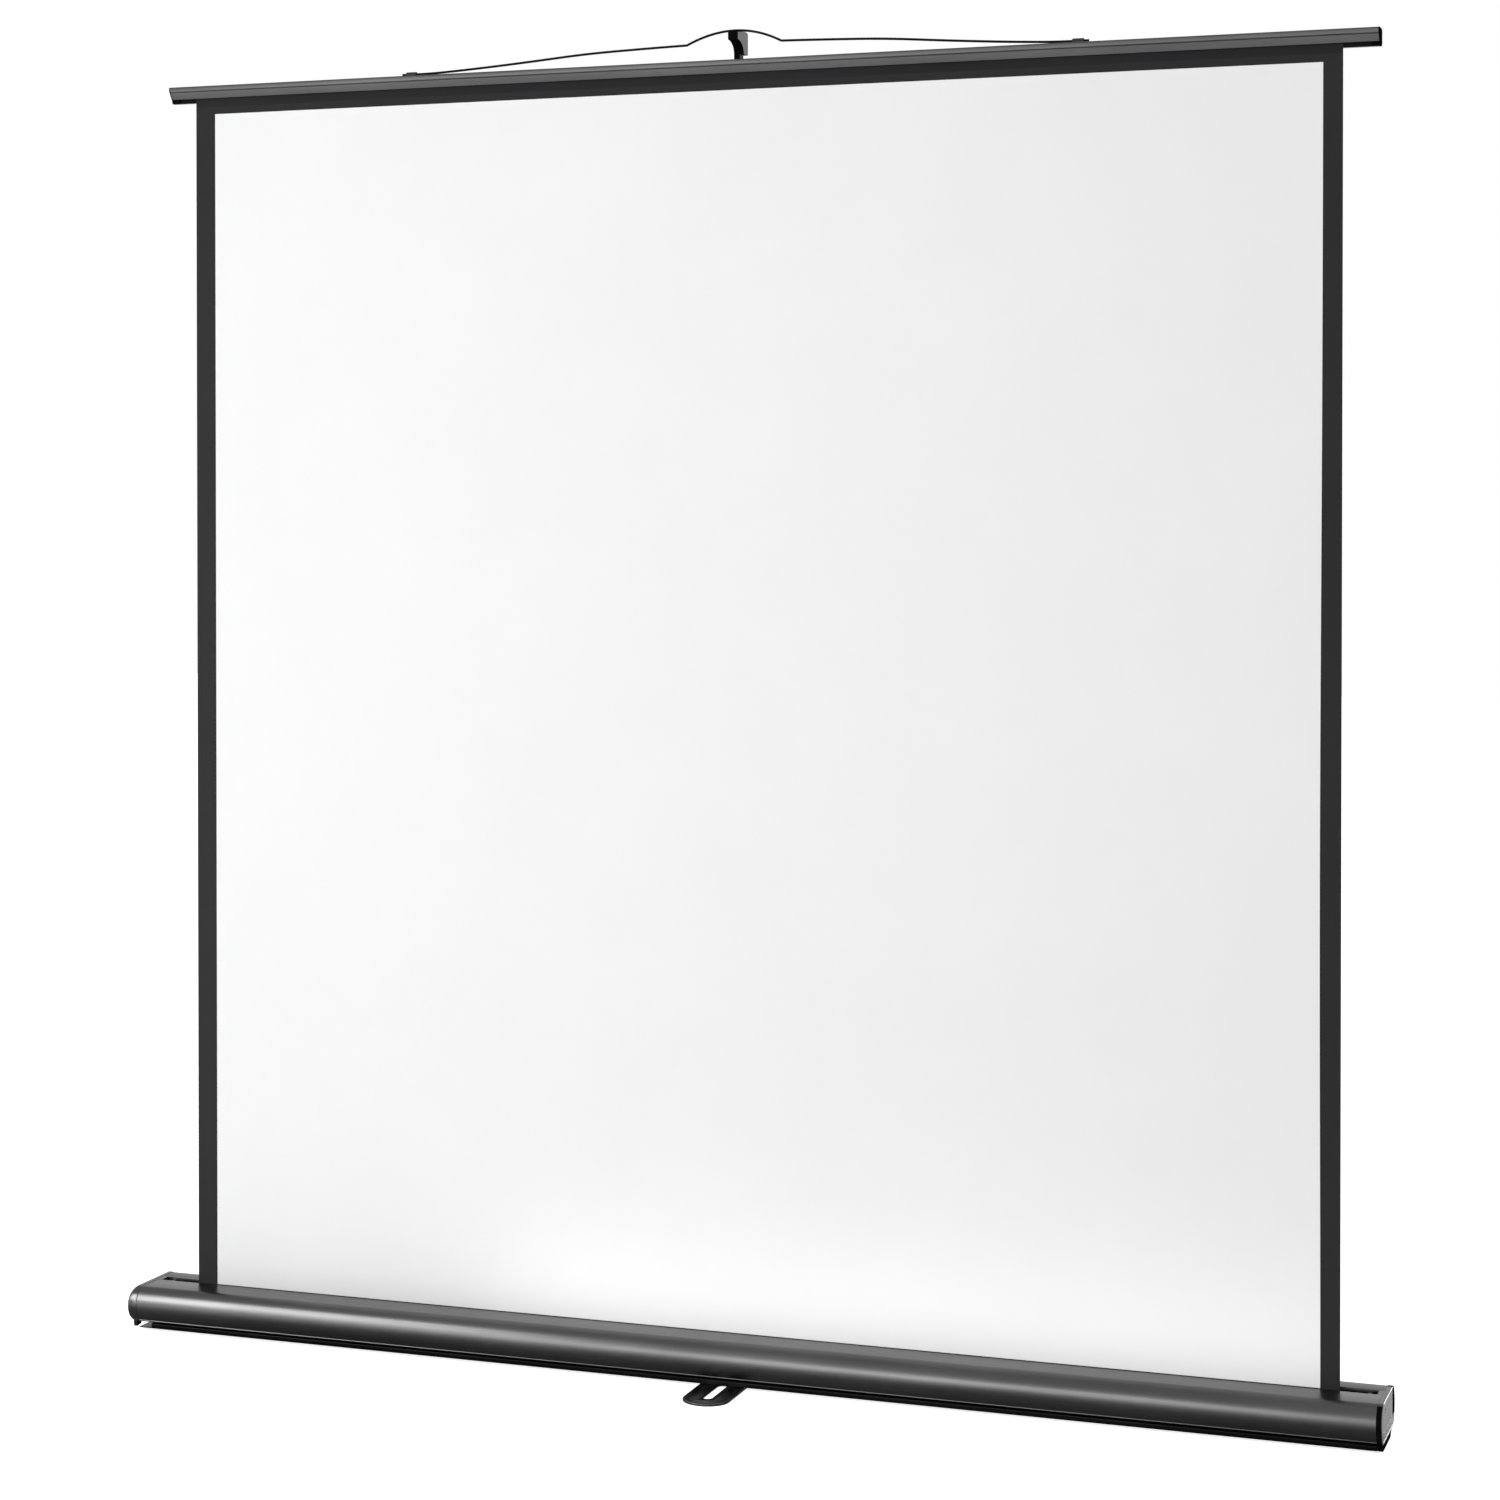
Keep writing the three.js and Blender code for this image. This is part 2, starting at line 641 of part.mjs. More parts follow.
// Telescopic mast; its group stands on the case under the mast
function collar(tubeRadius, bore, tubeTop) {
  const outer = tubeRadius + gap + collarWall;
  const low = tubeTop + collarRise - collarHeight;
  const high = tubeTop + collarRise;
  const step = tubeTop + gap;
  const body = turned([
    [tubeRadius + gap, low], [outer, low], [outer, high - collarWall], [outer - collarWall, high],
    [bore, high], [bore, step], [tubeRadius + gap, step], [tubeRadius + gap, low],
  ], roundSides);
  const ribs = [];
  for (let rib = 0; rib < ribCount; rib += 1) {
    const angle = (rib / ribCount) * 2 * Math.PI;
    ribs.push(disc(ribRadius, low + collarWall, high - 2 * collarWall, ribSides)
      .translate(outer * Math.cos(angle), outer * Math.sin(angle), 0));
  }
  return combine(body, { add: ribs });
}

function mastSocket() {
  const bore = mastRadii[0] + gap;
  const outer = bore + socketWall;
  const body = disc(outer, 0, socketHeight);
  const flange = box(-flangeLength / 2, flangeLength / 2,
    flangeFront - mastSetback, flangeRear - mastSetback, 0, flangeHeight);
  const well = disc(bore, socketFloor - gap, socketHeight + overrun);
  const knobHole = alongY(disc(knobScrewRadius + gap, 0, outer + overrun, smallSides));
  knobHole.translate(0, 0, knobHeight);
  const holes = [-flangeScrewSpread, flangeScrewSpread].map((x) => disc(
    screwRadius + gap, -overrun, flangeHeight + overrun, smallSides).translate(x, 0, 0));
  return combine(body, { add: [flange], cut: [well, knobHole, ...holes] });
}

function socketKnob() {
  const tip = mastRadii[0] + gap;
  const seat = mastRadii[0] + socketWall + 3 * gap;
  const body = turned([
    [0, tip], [knobScrewRadius, tip], [knobScrewRadius, seat], [knobRadius, seat],
    [knobRadius, seat + knobLength], [0, seat + knobLength],
  ], roundSides);
  const lobes = [];
  for (let lobe = 0; lobe < knobLobes; lobe += 1) {
    const angle = (lobe / knobLobes) * 2 * Math.PI;
    lobes.push(disc(knobLobeRadius, seat, seat + knobLength, smallSides)
      .translate(knobRadius * Math.cos(angle), knobRadius * Math.sin(angle), 0));
  }
  return alongY(combine(body, { add: lobes }));
}

function hookProfile() {
  const wireY = bailApex * Math.sin(bailLean);
  const crown = bailApex - bailWireRadius - hookSeat; // the head's top is round about the bail's pivots
  const stopFront = wireY + bailWireRadius + gap;
  const top = [];
  for (let step = 0; step <= arcSteps; step += 1) {
    const y = stopFront + (hookFront - stopFront) * (step / arcSteps);
    top.push(point(y, bailAxisRise + Math.sqrt(crown * crown - y * y)));
  }
  const bodyFront = mastSetback - rodRadius - gap - tongueThickness;
  return [
    point(bodyFront, hookFoot), point(hookRear, hookFoot), point(hookRear, hookRearTop),
    point(stopFront, hookRearTop), ...top, point(hookFront, hookHeadBottom), ...hookThroat(bodyFront),
  ];
}

// the curved edge from under the head back down to the foot of the hook
function hookThroat(bodyFront) {
  const points = [];
  for (let step = 1; step < arcSteps; step += 1) {
    const angle = (step / arcSteps) * (Math.PI / 2);
    points.push(point(
      hookFront + (bodyFront - hookFront) * Math.sin(angle),
      hookFoot + (hookHeadBottom - hookFoot) * Math.cos(angle)));
  }
  return points;
}

// the hook is drawn in the slat's heights, so it is lowered onto the mast's group
function mastHook() {
  const body = profileAlongX(hookProfile(), -hookWidth / 2, hookWidth / 2);
  const bore = disc(rodRadius + gap, hookFoot - overrun, hookFoot + hookBoreDepth, smallSides);
  bore.translate(0, mastSetback, 0);
  const rear = mastSetback - rodRadius - gap;
  const tongue = box(-hookWidth / 2, tongueWidth - hookWidth / 2,
    rear - tongueThickness, rear, hookFoot - tongueDrop, hookFoot + tongueThickness);
  return combine(body, { add: [tongue], cut: [bore] }).translate(0, -mastSetback, 0);
}

function buildMast(parent) {
  const mast = addGroup(parent, screenShift, mastSetback, 0);
  addPiece(mast, 'mast_socket', mastSocket().translate(0, 0, caseTop), blackPlastic);
  [-flangeScrewSpread, flangeScrewSpread].forEach((x, index) => {
    const headLow = caseTop + flangeHeight;
    const headHigh = headLow + screwHeadHeight;
    const screw = turned([
      [0, caseTop + gap], [screwRadius, caseTop + gap], [screwRadius, headLow],
      [screwHeadRadius, headLow], [screwHeadRadius, headHigh], [0, headHigh],
    ], smallSides);
    addPiece(mast, `socket_screw_${index + 1}`, screw, plainSteel).position.x = x;
  });
  addPiece(mast, 'socket_knob', socketKnob(), blackPlastic).position.z = caseTop + knobHeight;
  mastRadii.forEach((radius, index) => {
    const low = mastFoot + index * stageRise;
    const high = low + stageLength;
    const nextRadius = index + 1 < mastRadii.length ? mastRadii[index + 1] : rodRadius;
    addPiece(mast, `mast_tube_${index + 1}`, ring(tubeInner(index), radius, low, high), blackEnamel);
    addPiece(mast, `mast_collar_${index + 1}`, collar(radius, nextRadius + gap, high), blackPlastic);
  });
  const lastTube = mastRadii.length - 1;
  const rodLow = mastFoot + mastRadii.length * stageRise;
  const guide = tubeInner(lastTube) - gap;
  const rodTop = slatTop + hookFoot + hookBoreDepth - gap;
  addPiece(mast, 'mast_rod', turned([
    [0, rodLow], [guide, rodLow], [guide, rodLow + rodFootLength], [rodRadius, rodLow + rodFootLength],
    [rodRadius, rodTop], [0, rodTop],
  ], smallSides), blackEnamel);
  addPiece(mast, 'mast_hook', mastHook(), blackPlastic).position.z = slatTop;
}

// Top slat, with its heights counted from its underside: from the rear of the underside up, over
// the top, down the nose and on down the face that leans back to the lip
function slatOutline() {
  const half = slatDepth / 2;
  const rear = half - slatRearRounding;
  const noseFoot = slatHeight - noseHeight;
  return [
    ...quarter(rear, slatRearRounding, slatRearRounding, slatRearRounding, 3 / 4),
    ...quarter(rear, slatHeight - slatRearRounding, slatRearRounding, slatRearRounding, 0),
    ...quarter(noseRounding - half, slatHeight - noseRounding, noseRounding, noseRounding, 1 / 4),
    point(noseLean - half, noseFoot), point(noseStep - half, noseFoot - noseStep + noseLean),
    point(-lipReach, lipLow),
  ];
}

// points round the hem's centre, clockwise from straight below it; each end is kept clear of the
// line below the centre by its own offset, and a negative offset crosses that line
function roundTheHem(radius, startOffset, endOffset) {
  const start = Math.asin(startOffset / radius);
  const end = 2 * Math.PI - Math.asin(endOffset / radius);
  const steps = 2 * arcSteps;
  const points = [];
  for (let step = 0; step <= steps; step += 1) {
    const angle = start + (step / steps) * (end - start);
    points.push(point(-radius * Math.sin(angle), hemRise - radius * Math.cos(angle)));
  }
  return points;
}

function slatProfile() {
  const half = slatSlotWidth / 2;
  const length = slatLength - 2 * slatCapLength;
  const outline = [
    point(half, 0), ...slatOutline(), point(-half, lipLow),
    ...roundTheHem(pocketRadius, half, half),
  ];
  const shape = new THREE.Shape(outline);
  shape.holes.push(new THREE.Path(slatChamber()));
  const geometry = new THREE.ExtrudeGeometry(shape, { depth: length, bevelEnabled: false });
  return turnToX(geometry).translate(-length / 2, 0, 0);
}

// the hollow of the slat above the hem's pocket
function slatChamber() {
  const floor = hemRise + pocketRadius + slatWall;
  const roof = slatHeight - slatWall;
  const front = noseStep + slatWall - slatDepth / 2;
  const rear = slatDepth / 2 - slatRearRounding;
  return [point(rear, floor), point(rear, roof), point(front, roof), point(front, floor)];
}

// a cap's outline is the slat's, closed below the lip by a rounded toe
function slatCap() {
  const inner = slatLength / 2 - slatCapLength;
  const toeCentre = toeRounding - slatSlotWidth / 2;
  const outline = [
    ...slatOutline(), ...quarter(toeCentre, toeRounding, toeRounding, toeRounding, 1 / 2),
  ];
  const cap = new THREE.ExtrudeGeometry(new THREE.Shape(outline), {
    depth: slatCapLength - slatCapBulge, bevelThickness: slatCapBulge, bevelSize: slatCapBulge,
    bevelOffset: -slatCapBulge, bevelSegments: 3,
  });
  turnToX(cap).translate(inner, 0, 0);
  const flatten = box(
    inner - slatCapBulge - overrun, inner, -slatDepth, slatDepth, -slatHeight, 2 * slatHeight);
  const spigot = alongX(
    disc(pocketRadius - gap, inner - slatSpigotLength, inner + slatCapBulge, smallSides));
  spigot.translate(0, 0, hemRise);
  const toe = box(
    inner - slatToeLength, inner + slatCapBulge, -slatSlotWidth / 2, slatSlotWidth / 2 - gap,
    toeRounding, lipLow - gap);
  return combine(combine(cap, { cut: [flatten] }), { add: [spigot, toe] });
}

function buildSlat(parent) {
  const slat = addGroup(parent, screenShift + slatShift, 0, slatBottom);
  addPiece(slat, 'slat_profile', slatProfile(), darkAluminium);
  addPiece(slat, 'slat_cap_right', slatCap(), blackPlastic);
  addPiece(slat, 'slat_cap_left', mirrored(slatCap()), blackPlastic);
  const rod = addPiece(slat, 'hem_rod', alongX(
    disc(hemRodRadius, -fabricWidth / 2, fabricWidth / 2, smallSides)), plainSteel);
  rod.position.set(-slatShift, 0, hemRise);
  buildBail(slat);
}

// a lug on the slat that one end of the bail turns in, drawn round the pivot line
function bailAnchor() {
  const end = bailPivotHalf + anchorLength;
  const block = box(
    bailPivotHalf, end, -anchorHalfWidth, anchorHalfWidth, -bailAxisRise, anchorHeight - bailAxisRise);
  const bore = alongX(disc(bailWireRadius + gap, bailPivotHalf - overrun, end + overrun, smallSides));
  return combine(block, { cut: [bore] });
}

// Wire bail, drawn upright over its pivots and then leaned back
function buildBail(parent) {
  const hump = bailApex - bailKinkHeight;
  const right = [
    [bailPivotHalf + bailEndLength, 0], [bailPivotHalf, 0],
    ...bailArmShares.map(([reach, rise]) => [bailPivotHalf * reach, bailKinkHeight * rise]),
    [bailKinkHalf, bailKinkHeight],
    ...bailHumpShares.map((reach) => [bailKinkHalf * reach, bailApex - hump * reach * reach]),
  ];
  const left = right.map(([x, z]) => [-x, z]);
  const line = [...left, [0, bailApex], ...right.reverse()];
  const path = new THREE.CatmullRomCurve3(
    line.map(([x, z]) => new THREE.Vector3(x, 0, z)), false, 'chordal');
  const section = new THREE.Shape();
  for (let side = 0; side < bailSides; side += 1) {
    const angle = (side / bailSides) * 2 * Math.PI;
    const spot = point(bailWireRadius * Math.cos(angle), bailWireRadius * Math.sin(angle));
    if (side === 0) section.moveTo(spot.x, spot.y);
    else section.lineTo(spot.x, spot.y);
  }
  const wire = new THREE.ExtrudeGeometry(section, { steps: bailSteps, extrudePath: path });
  const pivots = addGroup(parent, -slatShift, 0, slatHeight + bailAxisRise); // in line with the mast
  addPiece(pivots, 'bail_anchor_right', bailAnchor(), blackPlastic);
  addPiece(pivots, 'bail_anchor_left', mirrored(bailAnchor()), blackPlastic);
  addPiece(pivots, 'bail_wire', wire, blackEnamel).rotation.x = -bailLean;
}

// Fabric from the roller up through the slot to its loop in the slat
function buildFabric(parent) {
  const half = fabricThickness / 2;
  const outer = roundTheHem(hemRadius, half + gap, half).reverse();
  const inner = roundTheHem(hemRadius - fabricThickness, half + gap, -half);
  const loop = [...outer, ...inner].map((spot) => point(spot.x, spot.y + slatBottom));
  const outline = [point(half, rollerZ), ...loop, point(-half, rollerZ)];
  const cloth = profileAlongX(outline, -fabricWidth / 2, fabricWidth / 2);
  addPiece(parent, 'screen_fabric', cloth, screenCloth).position.x = screenShift;
}

buildCase(root);
buildRoller(root);
buildFoot(root);
buildMast(root);
buildSlat(root);
buildFabric(root);

export default root;
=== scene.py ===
# Portable pull-up projector screen, standing open on the floor: a long case with a spring
# roller in it, the square cloth, the top slat with its wire bail, and the mast behind.
# Metres, +Z up, the picture side faces -Y.

import math

import bmesh
import bpy
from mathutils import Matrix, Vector
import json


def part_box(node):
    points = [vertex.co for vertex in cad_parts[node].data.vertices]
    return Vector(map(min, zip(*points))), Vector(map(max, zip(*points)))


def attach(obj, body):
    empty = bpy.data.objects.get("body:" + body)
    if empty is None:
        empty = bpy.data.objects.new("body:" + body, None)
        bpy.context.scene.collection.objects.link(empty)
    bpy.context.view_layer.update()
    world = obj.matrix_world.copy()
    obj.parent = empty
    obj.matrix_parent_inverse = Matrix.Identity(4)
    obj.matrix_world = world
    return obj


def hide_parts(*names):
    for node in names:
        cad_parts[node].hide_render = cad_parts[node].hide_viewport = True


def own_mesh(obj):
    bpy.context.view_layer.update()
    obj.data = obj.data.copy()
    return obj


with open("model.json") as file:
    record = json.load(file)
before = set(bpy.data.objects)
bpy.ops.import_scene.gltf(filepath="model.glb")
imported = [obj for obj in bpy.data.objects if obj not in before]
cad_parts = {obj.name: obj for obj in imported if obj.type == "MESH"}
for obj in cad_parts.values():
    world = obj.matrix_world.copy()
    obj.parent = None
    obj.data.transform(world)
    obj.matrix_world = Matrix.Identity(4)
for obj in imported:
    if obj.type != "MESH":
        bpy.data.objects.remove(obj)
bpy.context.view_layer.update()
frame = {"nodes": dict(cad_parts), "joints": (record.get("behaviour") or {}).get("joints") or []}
scene = bpy.context.scene
mm = 0.001
fit = 0.3 * mm  # between pieces that slide or plug together
past = 5 * mm  # a cut runs on by this much beyond what it cuts

# Camera

camera = {
    "place": (1.308, -3.620, 1.0885),
    "yaw": 19.46,  # degrees left of straight ahead
    "pitch": -0.70,
    "sensor": 36,
    "lens": 74.57,
    "shiftY": -0.1389,
    "clip": (0.05, 200),
}


def buildCamera():
    data = bpy.data.cameras.new("viewCamera")
    data.sensor_width = camera["sensor"]
    data.lens = camera["lens"]
    data.shift_y = camera["shiftY"]
    data.clip_start, data.clip_end = camera["clip"]
    holder = bpy.data.objects.new("viewCamera", data)
    scene.collection.objects.link(holder)
    yaw = math.radians(camera["yaw"])
    pitch = math.radians(camera["pitch"])
    ahead = Vector((-math.sin(yaw) * math.cos(pitch), math.cos(yaw) * math.cos(pitch), math.sin(pitch)))
    holder.location = camera["place"]
    holder.rotation_euler = ahead.to_track_quat("-Z", "Y").to_euler()
    scene.camera = holder


buildCamera()
print("camera placed")

# Node trees


def linearColour(hexCode):
    channels = []
    for start in (0, 2, 4):
        value = int(hexCode[start:start + 2], 16) / 255
        channels.append(value / 12.92 if value <= 0.04045 else ((value + 0.055) / 1.055) ** 2.4)
    return (*channels, 1.0)


# links feed the new node's inputs, and into names the sockets that its outputs feed
def addNode(tree, kind, settings=None, links=None, into=None):
    node = tree.nodes.new(kind)
    for name, value in (settings or {}).items():
        if isinstance(name, int) or name in node.inputs:
            node.inputs[name].default_value = value
        else:
            setattr(node, name, value)
    for name, source in (links or {}).items():
        tree.links.new(source, node.inputs[name])
    for name, socket in (into or {}).items():
        tree.links.new(node.outputs[name], socket)
    return node


def newMaterial(name, settings):
    material = bpy.data.materials.new(name)
    material.use_nodes = True
    shader = material.node_tree.nodes["Principled BSDF"]
    for socket, value in settings.items():
        shader.inputs[socket].default_value = value
    return material, material.node_tree, shader


# a pattern laid on the object at its real size, squeezed along an axis where it runs lengthwise
def patternOn(tree, kind, sizeMm, settings, stretch=(1, 1, 1)):
    place = addNode(tree, "ShaderNodeTexCoord")
    laid = addNode(tree, "ShaderNodeMapping", {"Scale": stretch}, {"Vector": place.outputs["Object"]})
    return addNode(tree, kind, {"Scale": 1 / (sizeMm * mm), **settings}, {"Vector": laid.outputs["Vector"]})


# the base colour wanders between two as its pattern goes through its span, and the roughness
# between two more, by a pattern of its own or the same one
def wanderingSkin(tree, shader, colours, tintBy, roughness=None, roughBy=None, span=(0.3, 0.7)):
    start, end = span
    share = addNode(tree, "ShaderNodeMapRange", {"From Min": start, "From Max": end}, {"Value": tintBy})
    first, second = (linearColour(one) for one in colours)
    addNode(
        tree, "ShaderNodeMix", {"data_type": "RGBA", 6: first, 7: second},
        {0: share.outputs["Result"]}, {2: shader.inputs["Base Color"]})
    if roughness:
        low, high = roughness
        addNode(
            tree, "ShaderNodeMapRange",
            {"From Min": start, "From Max": end, "To Min": low, "To Max": high},
            {"Value": tintBy if roughBy is None else roughBy}, {"Result": shader.inputs["Roughness"]})


# colour and roughness wander in patches, and a grain stands up from the skin: patches and
# grain are a size in mm and the noise's settings, relief is the grain's height in mm and strength
def patchyMaterial(
        name, settings, colours, patches, roughness=None, grain=None, relief=None,
        stretch=(1, 1, 1), roughByGrain=False):
    material, tree, shader = newMaterial(name, settings)
    broad = patternOn(tree, "ShaderNodeTexNoise", *patches, stretch)
    fine = patternOn(tree, "ShaderNodeTexNoise", *grain, stretch) if grain else broad
    roughBy = fine if roughByGrain else broad
    wanderingSkin(tree, shader, colours, broad.outputs["Fac"], roughness, roughBy.outputs["Fac"])
    if relief:
        height, strength = relief
        addNode(
            tree, "ShaderNodeBump", {"Distance": height * mm, "Strength": strength},
            {"Height": fine.outputs["Fac"]}, {"Normal": shader.inputs["Normal"]})
    return material


# Materials

aluminiumLook = {
    "base": ("595959", "646464"),
    "black": ("141414", "1B1B1B"),
    "roughness": (0.29, 0.36),
    "dieLine": 1.4,  # mm; the lines the die leaves are 0.35 mm apart, drawn four times as coarse to show
    "dieStretch": (0.004, 1, 1),
    "dieDepth": 0.004,
    "cloudSize": 45,  # mm, of the slight difference in tint that the dye leaves
    "cloudStretch": (0.25, 1, 1),
    "waveSize": 60,  # mm, the slow unevenness of a long thin extrusion
    "waveStretch": (0.3, 1, 1),
    "waveDepth": 0.05,
}


# extruded aluminium, etched and anodised dark grey or black: a satin metal whose highlights are
# drawn out along its length, with faint lengthwise lines from the die
def anodisedAluminium(name, colours):
    look = aluminiumLook
    material, tree, shader = newMaterial(name, {"Metallic": 1.0})
    lines, clouds, waves = (
        patternOn(tree, "ShaderNodeTexNoise", look[size], {"Detail": detail}, look[stretch])
        for size, detail, stretch in (
            ("dieLine", 3, "dieStretch"), ("cloudSize", 3, "cloudStretch"), ("waveSize", 1, "waveStretch")))
    wanderingSkin(tree, shader, colours, clouds.outputs["Fac"], look["roughness"], lines.outputs["Fac"])
    slow = addNode(
        tree, "ShaderNodeBump", {"Distance": look["waveDepth"] * mm, "Strength": 1.0},
        {"Height": waves.outputs["Fac"]})
    addNode(
        tree, "ShaderNodeBump", {"Distance": look["dieDepth"] * mm, "Strength": 1.0},
        {"Height": lines.outputs["Fac"], "Normal": slow.outputs["Normal"]},
        {"Normal": shader.inputs["Normal"]})
    return material


aluminium = anodisedAluminium("darkAnodisedAluminium", aluminiumLook["base"])
# the black one is the rail's own finish, and painted shade on the slat's back wall below the lip
blackAluminiumAndPaintedShade = anodisedAluminium("blackAnodisedAluminiumAndPaintedShade", aluminiumLook["black"])


# ABS injected into a spark-eroded or polished mould: near black, with a fine even grain that
# breaks up the sheen and a slight greying where it was handled
def mouldedAbs(name, colours, roughness, grainDepth, shine=0.5):
    return patchyMaterial(
        name, {"IOR": 1.53, "Specular IOR Level": shine}, colours, (25, {"Detail": 3}), roughness,
        (0.8, {"Detail": 2}), (grainDepth, 0.6))


mattAbs = mouldedAbs("blackMouldedAbs", ("171717", "222222"), (0.36, 0.5), 0.03)
shinyAbs = mouldedAbs("blackPolishedAbs", ("0E0E0E", "151515"), (0.14, 0.22), 0.006)
# the dull one is also painted shade on the right end cap's rear
dullAbsAndPaintedShade = mouldedAbs("dullBlackAbsAndPaintedShade", ("0A0A0A", "111111"), (0.55, 0.65), 0.02, 0.0)
grainedAbs = mouldedAbs("grainedBlackAbs", ("1D1D1D", "272727"), (0.28, 0.36), 0.02, 0.95)
glossAbs = mouldedAbs("glossBlackAbs", ("121212", "191919"), (0.2, 0.28), 0.006, 1.0)

# steel under black powder coat: a smooth dark film with the slight orange peel that the
# powder leaves when it flows out
steelBlack = patchyMaterial(
    "blackPowderCoatedSteel", {"IOR": 1.5, "Coat Weight": 0.3, "Coat Roughness": 0.15},
    ("101011", "19191B"), (30, {"Detail": 2}), (0.26, 0.36), (1.6, {"Detail": 1}), (0.03, 0.5))

# spring wire dipped in black plastic: a soft dark skin that shows hardly any highlight
wireBlack = patchyMaterial(
    "blackDippedWire", {"IOR": 1.48, "Specular IOR Level": 0.06},
    ("0B0B0C", "151516"), (3, {"Detail": 2}), (0.45, 0.6), relief=(0.03, 0.5), stretch=(0.2, 1, 1))

# turned or pressed steel with bright zinc plating: a cool bright metal, slightly cloudy
zinc = patchyMaterial(
    "zincPlatedSteel", {"Metallic": 1.0}, ("B4B7BA", "9DA1A5"), (4, {"Detail": 3}), (0.24, 0.4),
    (0.4, {"Detail": 2}), (0.01, 0.4), roughByGrain=True)

# natural nylon, moulded: milky off-white that lets a little light in under its skin
nylon = patchyMaterial(
    "naturalNylon", {"IOR": 1.53, "Subsurface Weight": 0.15, "Subsurface Scale": 0.002},
    ("DDDBD2", "D2CFC4"), (12, {"Detail": 2}), (0.42, 0.55))

# moulded rubber: matt black with a dusty bloom
rubber = patchyMaterial(
    "blackRubber", {"IOR": 1.52, "Specular IOR Level": 0.3},
    ("161616", "2B2B2A"), (3, {"Detail": 3}), (0.75, 0.9), (0.6, {"Detail": 2}), (0.05, 0.6))

# pressed wool felt: soft black fibres with no sheen
felt = patchyMaterial(
    "blackWoolFelt",
    {"Specular IOR Level": 0.1, "Sheen Weight": 0.4, "Sheen Roughness": 0.6, "Roughness": 0.95},
    ("161617", "262628"), (0.5, {"Detail": 4, "Roughness": 0.7}), relief=(0.2, 0.8), stretch=(0.35, 1, 1))


# hot-dip galvanised sheet: flat zinc crystals 6 mm across, each of its own grey
def galvanisedSheet():
    material, tree, shader = newMaterial("galvanisedSheetSteel", {"Metallic": 1.0})
    spangle = patternOn(tree, "ShaderNodeTexVoronoi", 6, {})
    shade = addNode(tree, "ShaderNodeSeparateColor", links={"Color": spangle.outputs["Color"]})
    wanderingSkin(
        tree, shader, ("8C8F92", "A9ADB0"), shade.outputs["Red"], (0.34, 0.55), shade.outputs["Green"],
        (0, 1))
    return material


galvanised = galvanisedSheet()

clothLook = {
    "thread": 0.5,  # mm between threads; drawn twice as coarse as the real cloth so that it can show
    "bandSpan": 0.314,  # a band texture of scale 1 repeats after this many metres
    "patchSize": 180,
    "white": ("F5F5F5", "F3F3F4"),
    "border": ("2B2B2B", "282828"),
    "back": ("1E1E20", "242427"),
}


# woven glass or polyester under a matt coat: dead flat and even, the weave only just shows
# through the coat, and the printed border is as matt as the white
def coatedCloth(name, colours, roughness, weaveDepth):
    material, tree, shader = newMaterial(name, {"Specular IOR Level": 0.2, "Roughness": roughness})
    patches = patternOn(tree, "ShaderNodeTexNoise", clothLook["patchSize"], {"Detail": 3})
    wanderingSkin(tree, shader, colours, patches.outputs["Fac"])
    warp, weft = (
        patternOn(
            tree, "ShaderNodeTexWave", clothLook["thread"] / clothLook["bandSpan"],
            {"bands_direction": direction})
        for direction in ("X", "Z"))
    weave = addNode(
        tree, "ShaderNodeMath", {"operation": "MULTIPLY"}, {0: warp.outputs["Fac"], 1: weft.outputs["Fac"]})
    addNode(
        tree, "ShaderNodeBump", {"Distance": weaveDepth * mm, "Strength": 0.5},
        {"Height": weave.outputs["Value"]}, {"Normal": shader.inputs["Normal"]})
    return material


whiteCloth = coatedCloth("mattWhiteCoatedCloth", clothLook["white"], 0.92, 0.02)
borderCloth = coatedCloth("printedBlackBorder", clothLook["border"], 0.85, 0.02)
backCloth = coatedCloth("blackCoatedClothBack", clothLook["back"], 0.8, 0.05)
print("materials made")

# Mesh helpers


def sizes(node):
    low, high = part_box(node)
    return Vector(low), Vector(high)


def centreOf(node):
    low, high = sizes(node)
    return (low + high) / 2


# a node's middle with its place along the axis left at zero, for a piece turned about that axis
def axisThrough(node, axis="Z"):
    centre = centreOf(node)
    centre["XYZ".index(axis)] = 0
    return centre


def jointOf(name):
    return next(joint for joint in frame["joints"] if joint["name"] == name)


def arcPoints(centreY, centreZ, radiusY, radiusZ, fromDegrees, toDegrees, steps=12):
    points = []
    for step in range(steps + 1):
        angle = math.radians(fromDegrees + (toDegrees - fromDegrees) * step / steps)
        points.append((centreY + radiusY * math.cos(angle), centreZ + radiusZ * math.sin(angle)))
    return points


# pairs of radius and place for a turned piece, from a table of offsets in mm
def offsetPairs(radius, place, table):
    return [(radius + out * mm, place + along * mm) for out, along in table]


# the same pairs for a round bar, or for a tube when it has an inner radius, with broken edges
def barPairs(radius, low, high, edge, inner=None):
    pairs = [(radius - edge, low), (radius, low + edge), (radius, high - edge), (radius - edge, high)]
    return pairs if inner is None else [(inner, low), *pairs, (inner, high)]


# skins a row of rings that all have the same number of points
def loft(rings, capped=True, looped=False):
    count = len(rings[0])
    verts = [tuple(spot) for ring in rings for spot in ring]
    faces = []
    for level in range(len(rings) if looped else len(rings) - 1):
        here = level * count
        there = ((level + 1) % len(rings)) * count
        for spot in range(count):
            beside = (spot + 1) % count
            faces.append((here + spot, here + beside, there + beside, there + spot))
    if capped:
        faces.append(tuple(range(count)))
        faces.append(tuple(range((len(rings) - 1) * count, len(rings) * count)))
    return verts, faces


def alongX(outline, low, high):
    return loft([[(x, y, z) for y, z in outline] for x in (low, high)])


def boxMesh(low, high):
    outline = [(low[1], low[2]), (high[1], low[2]), (high[1], high[2]), (low[1], high[2])]
    return alongX(outline, low[0], high[0])


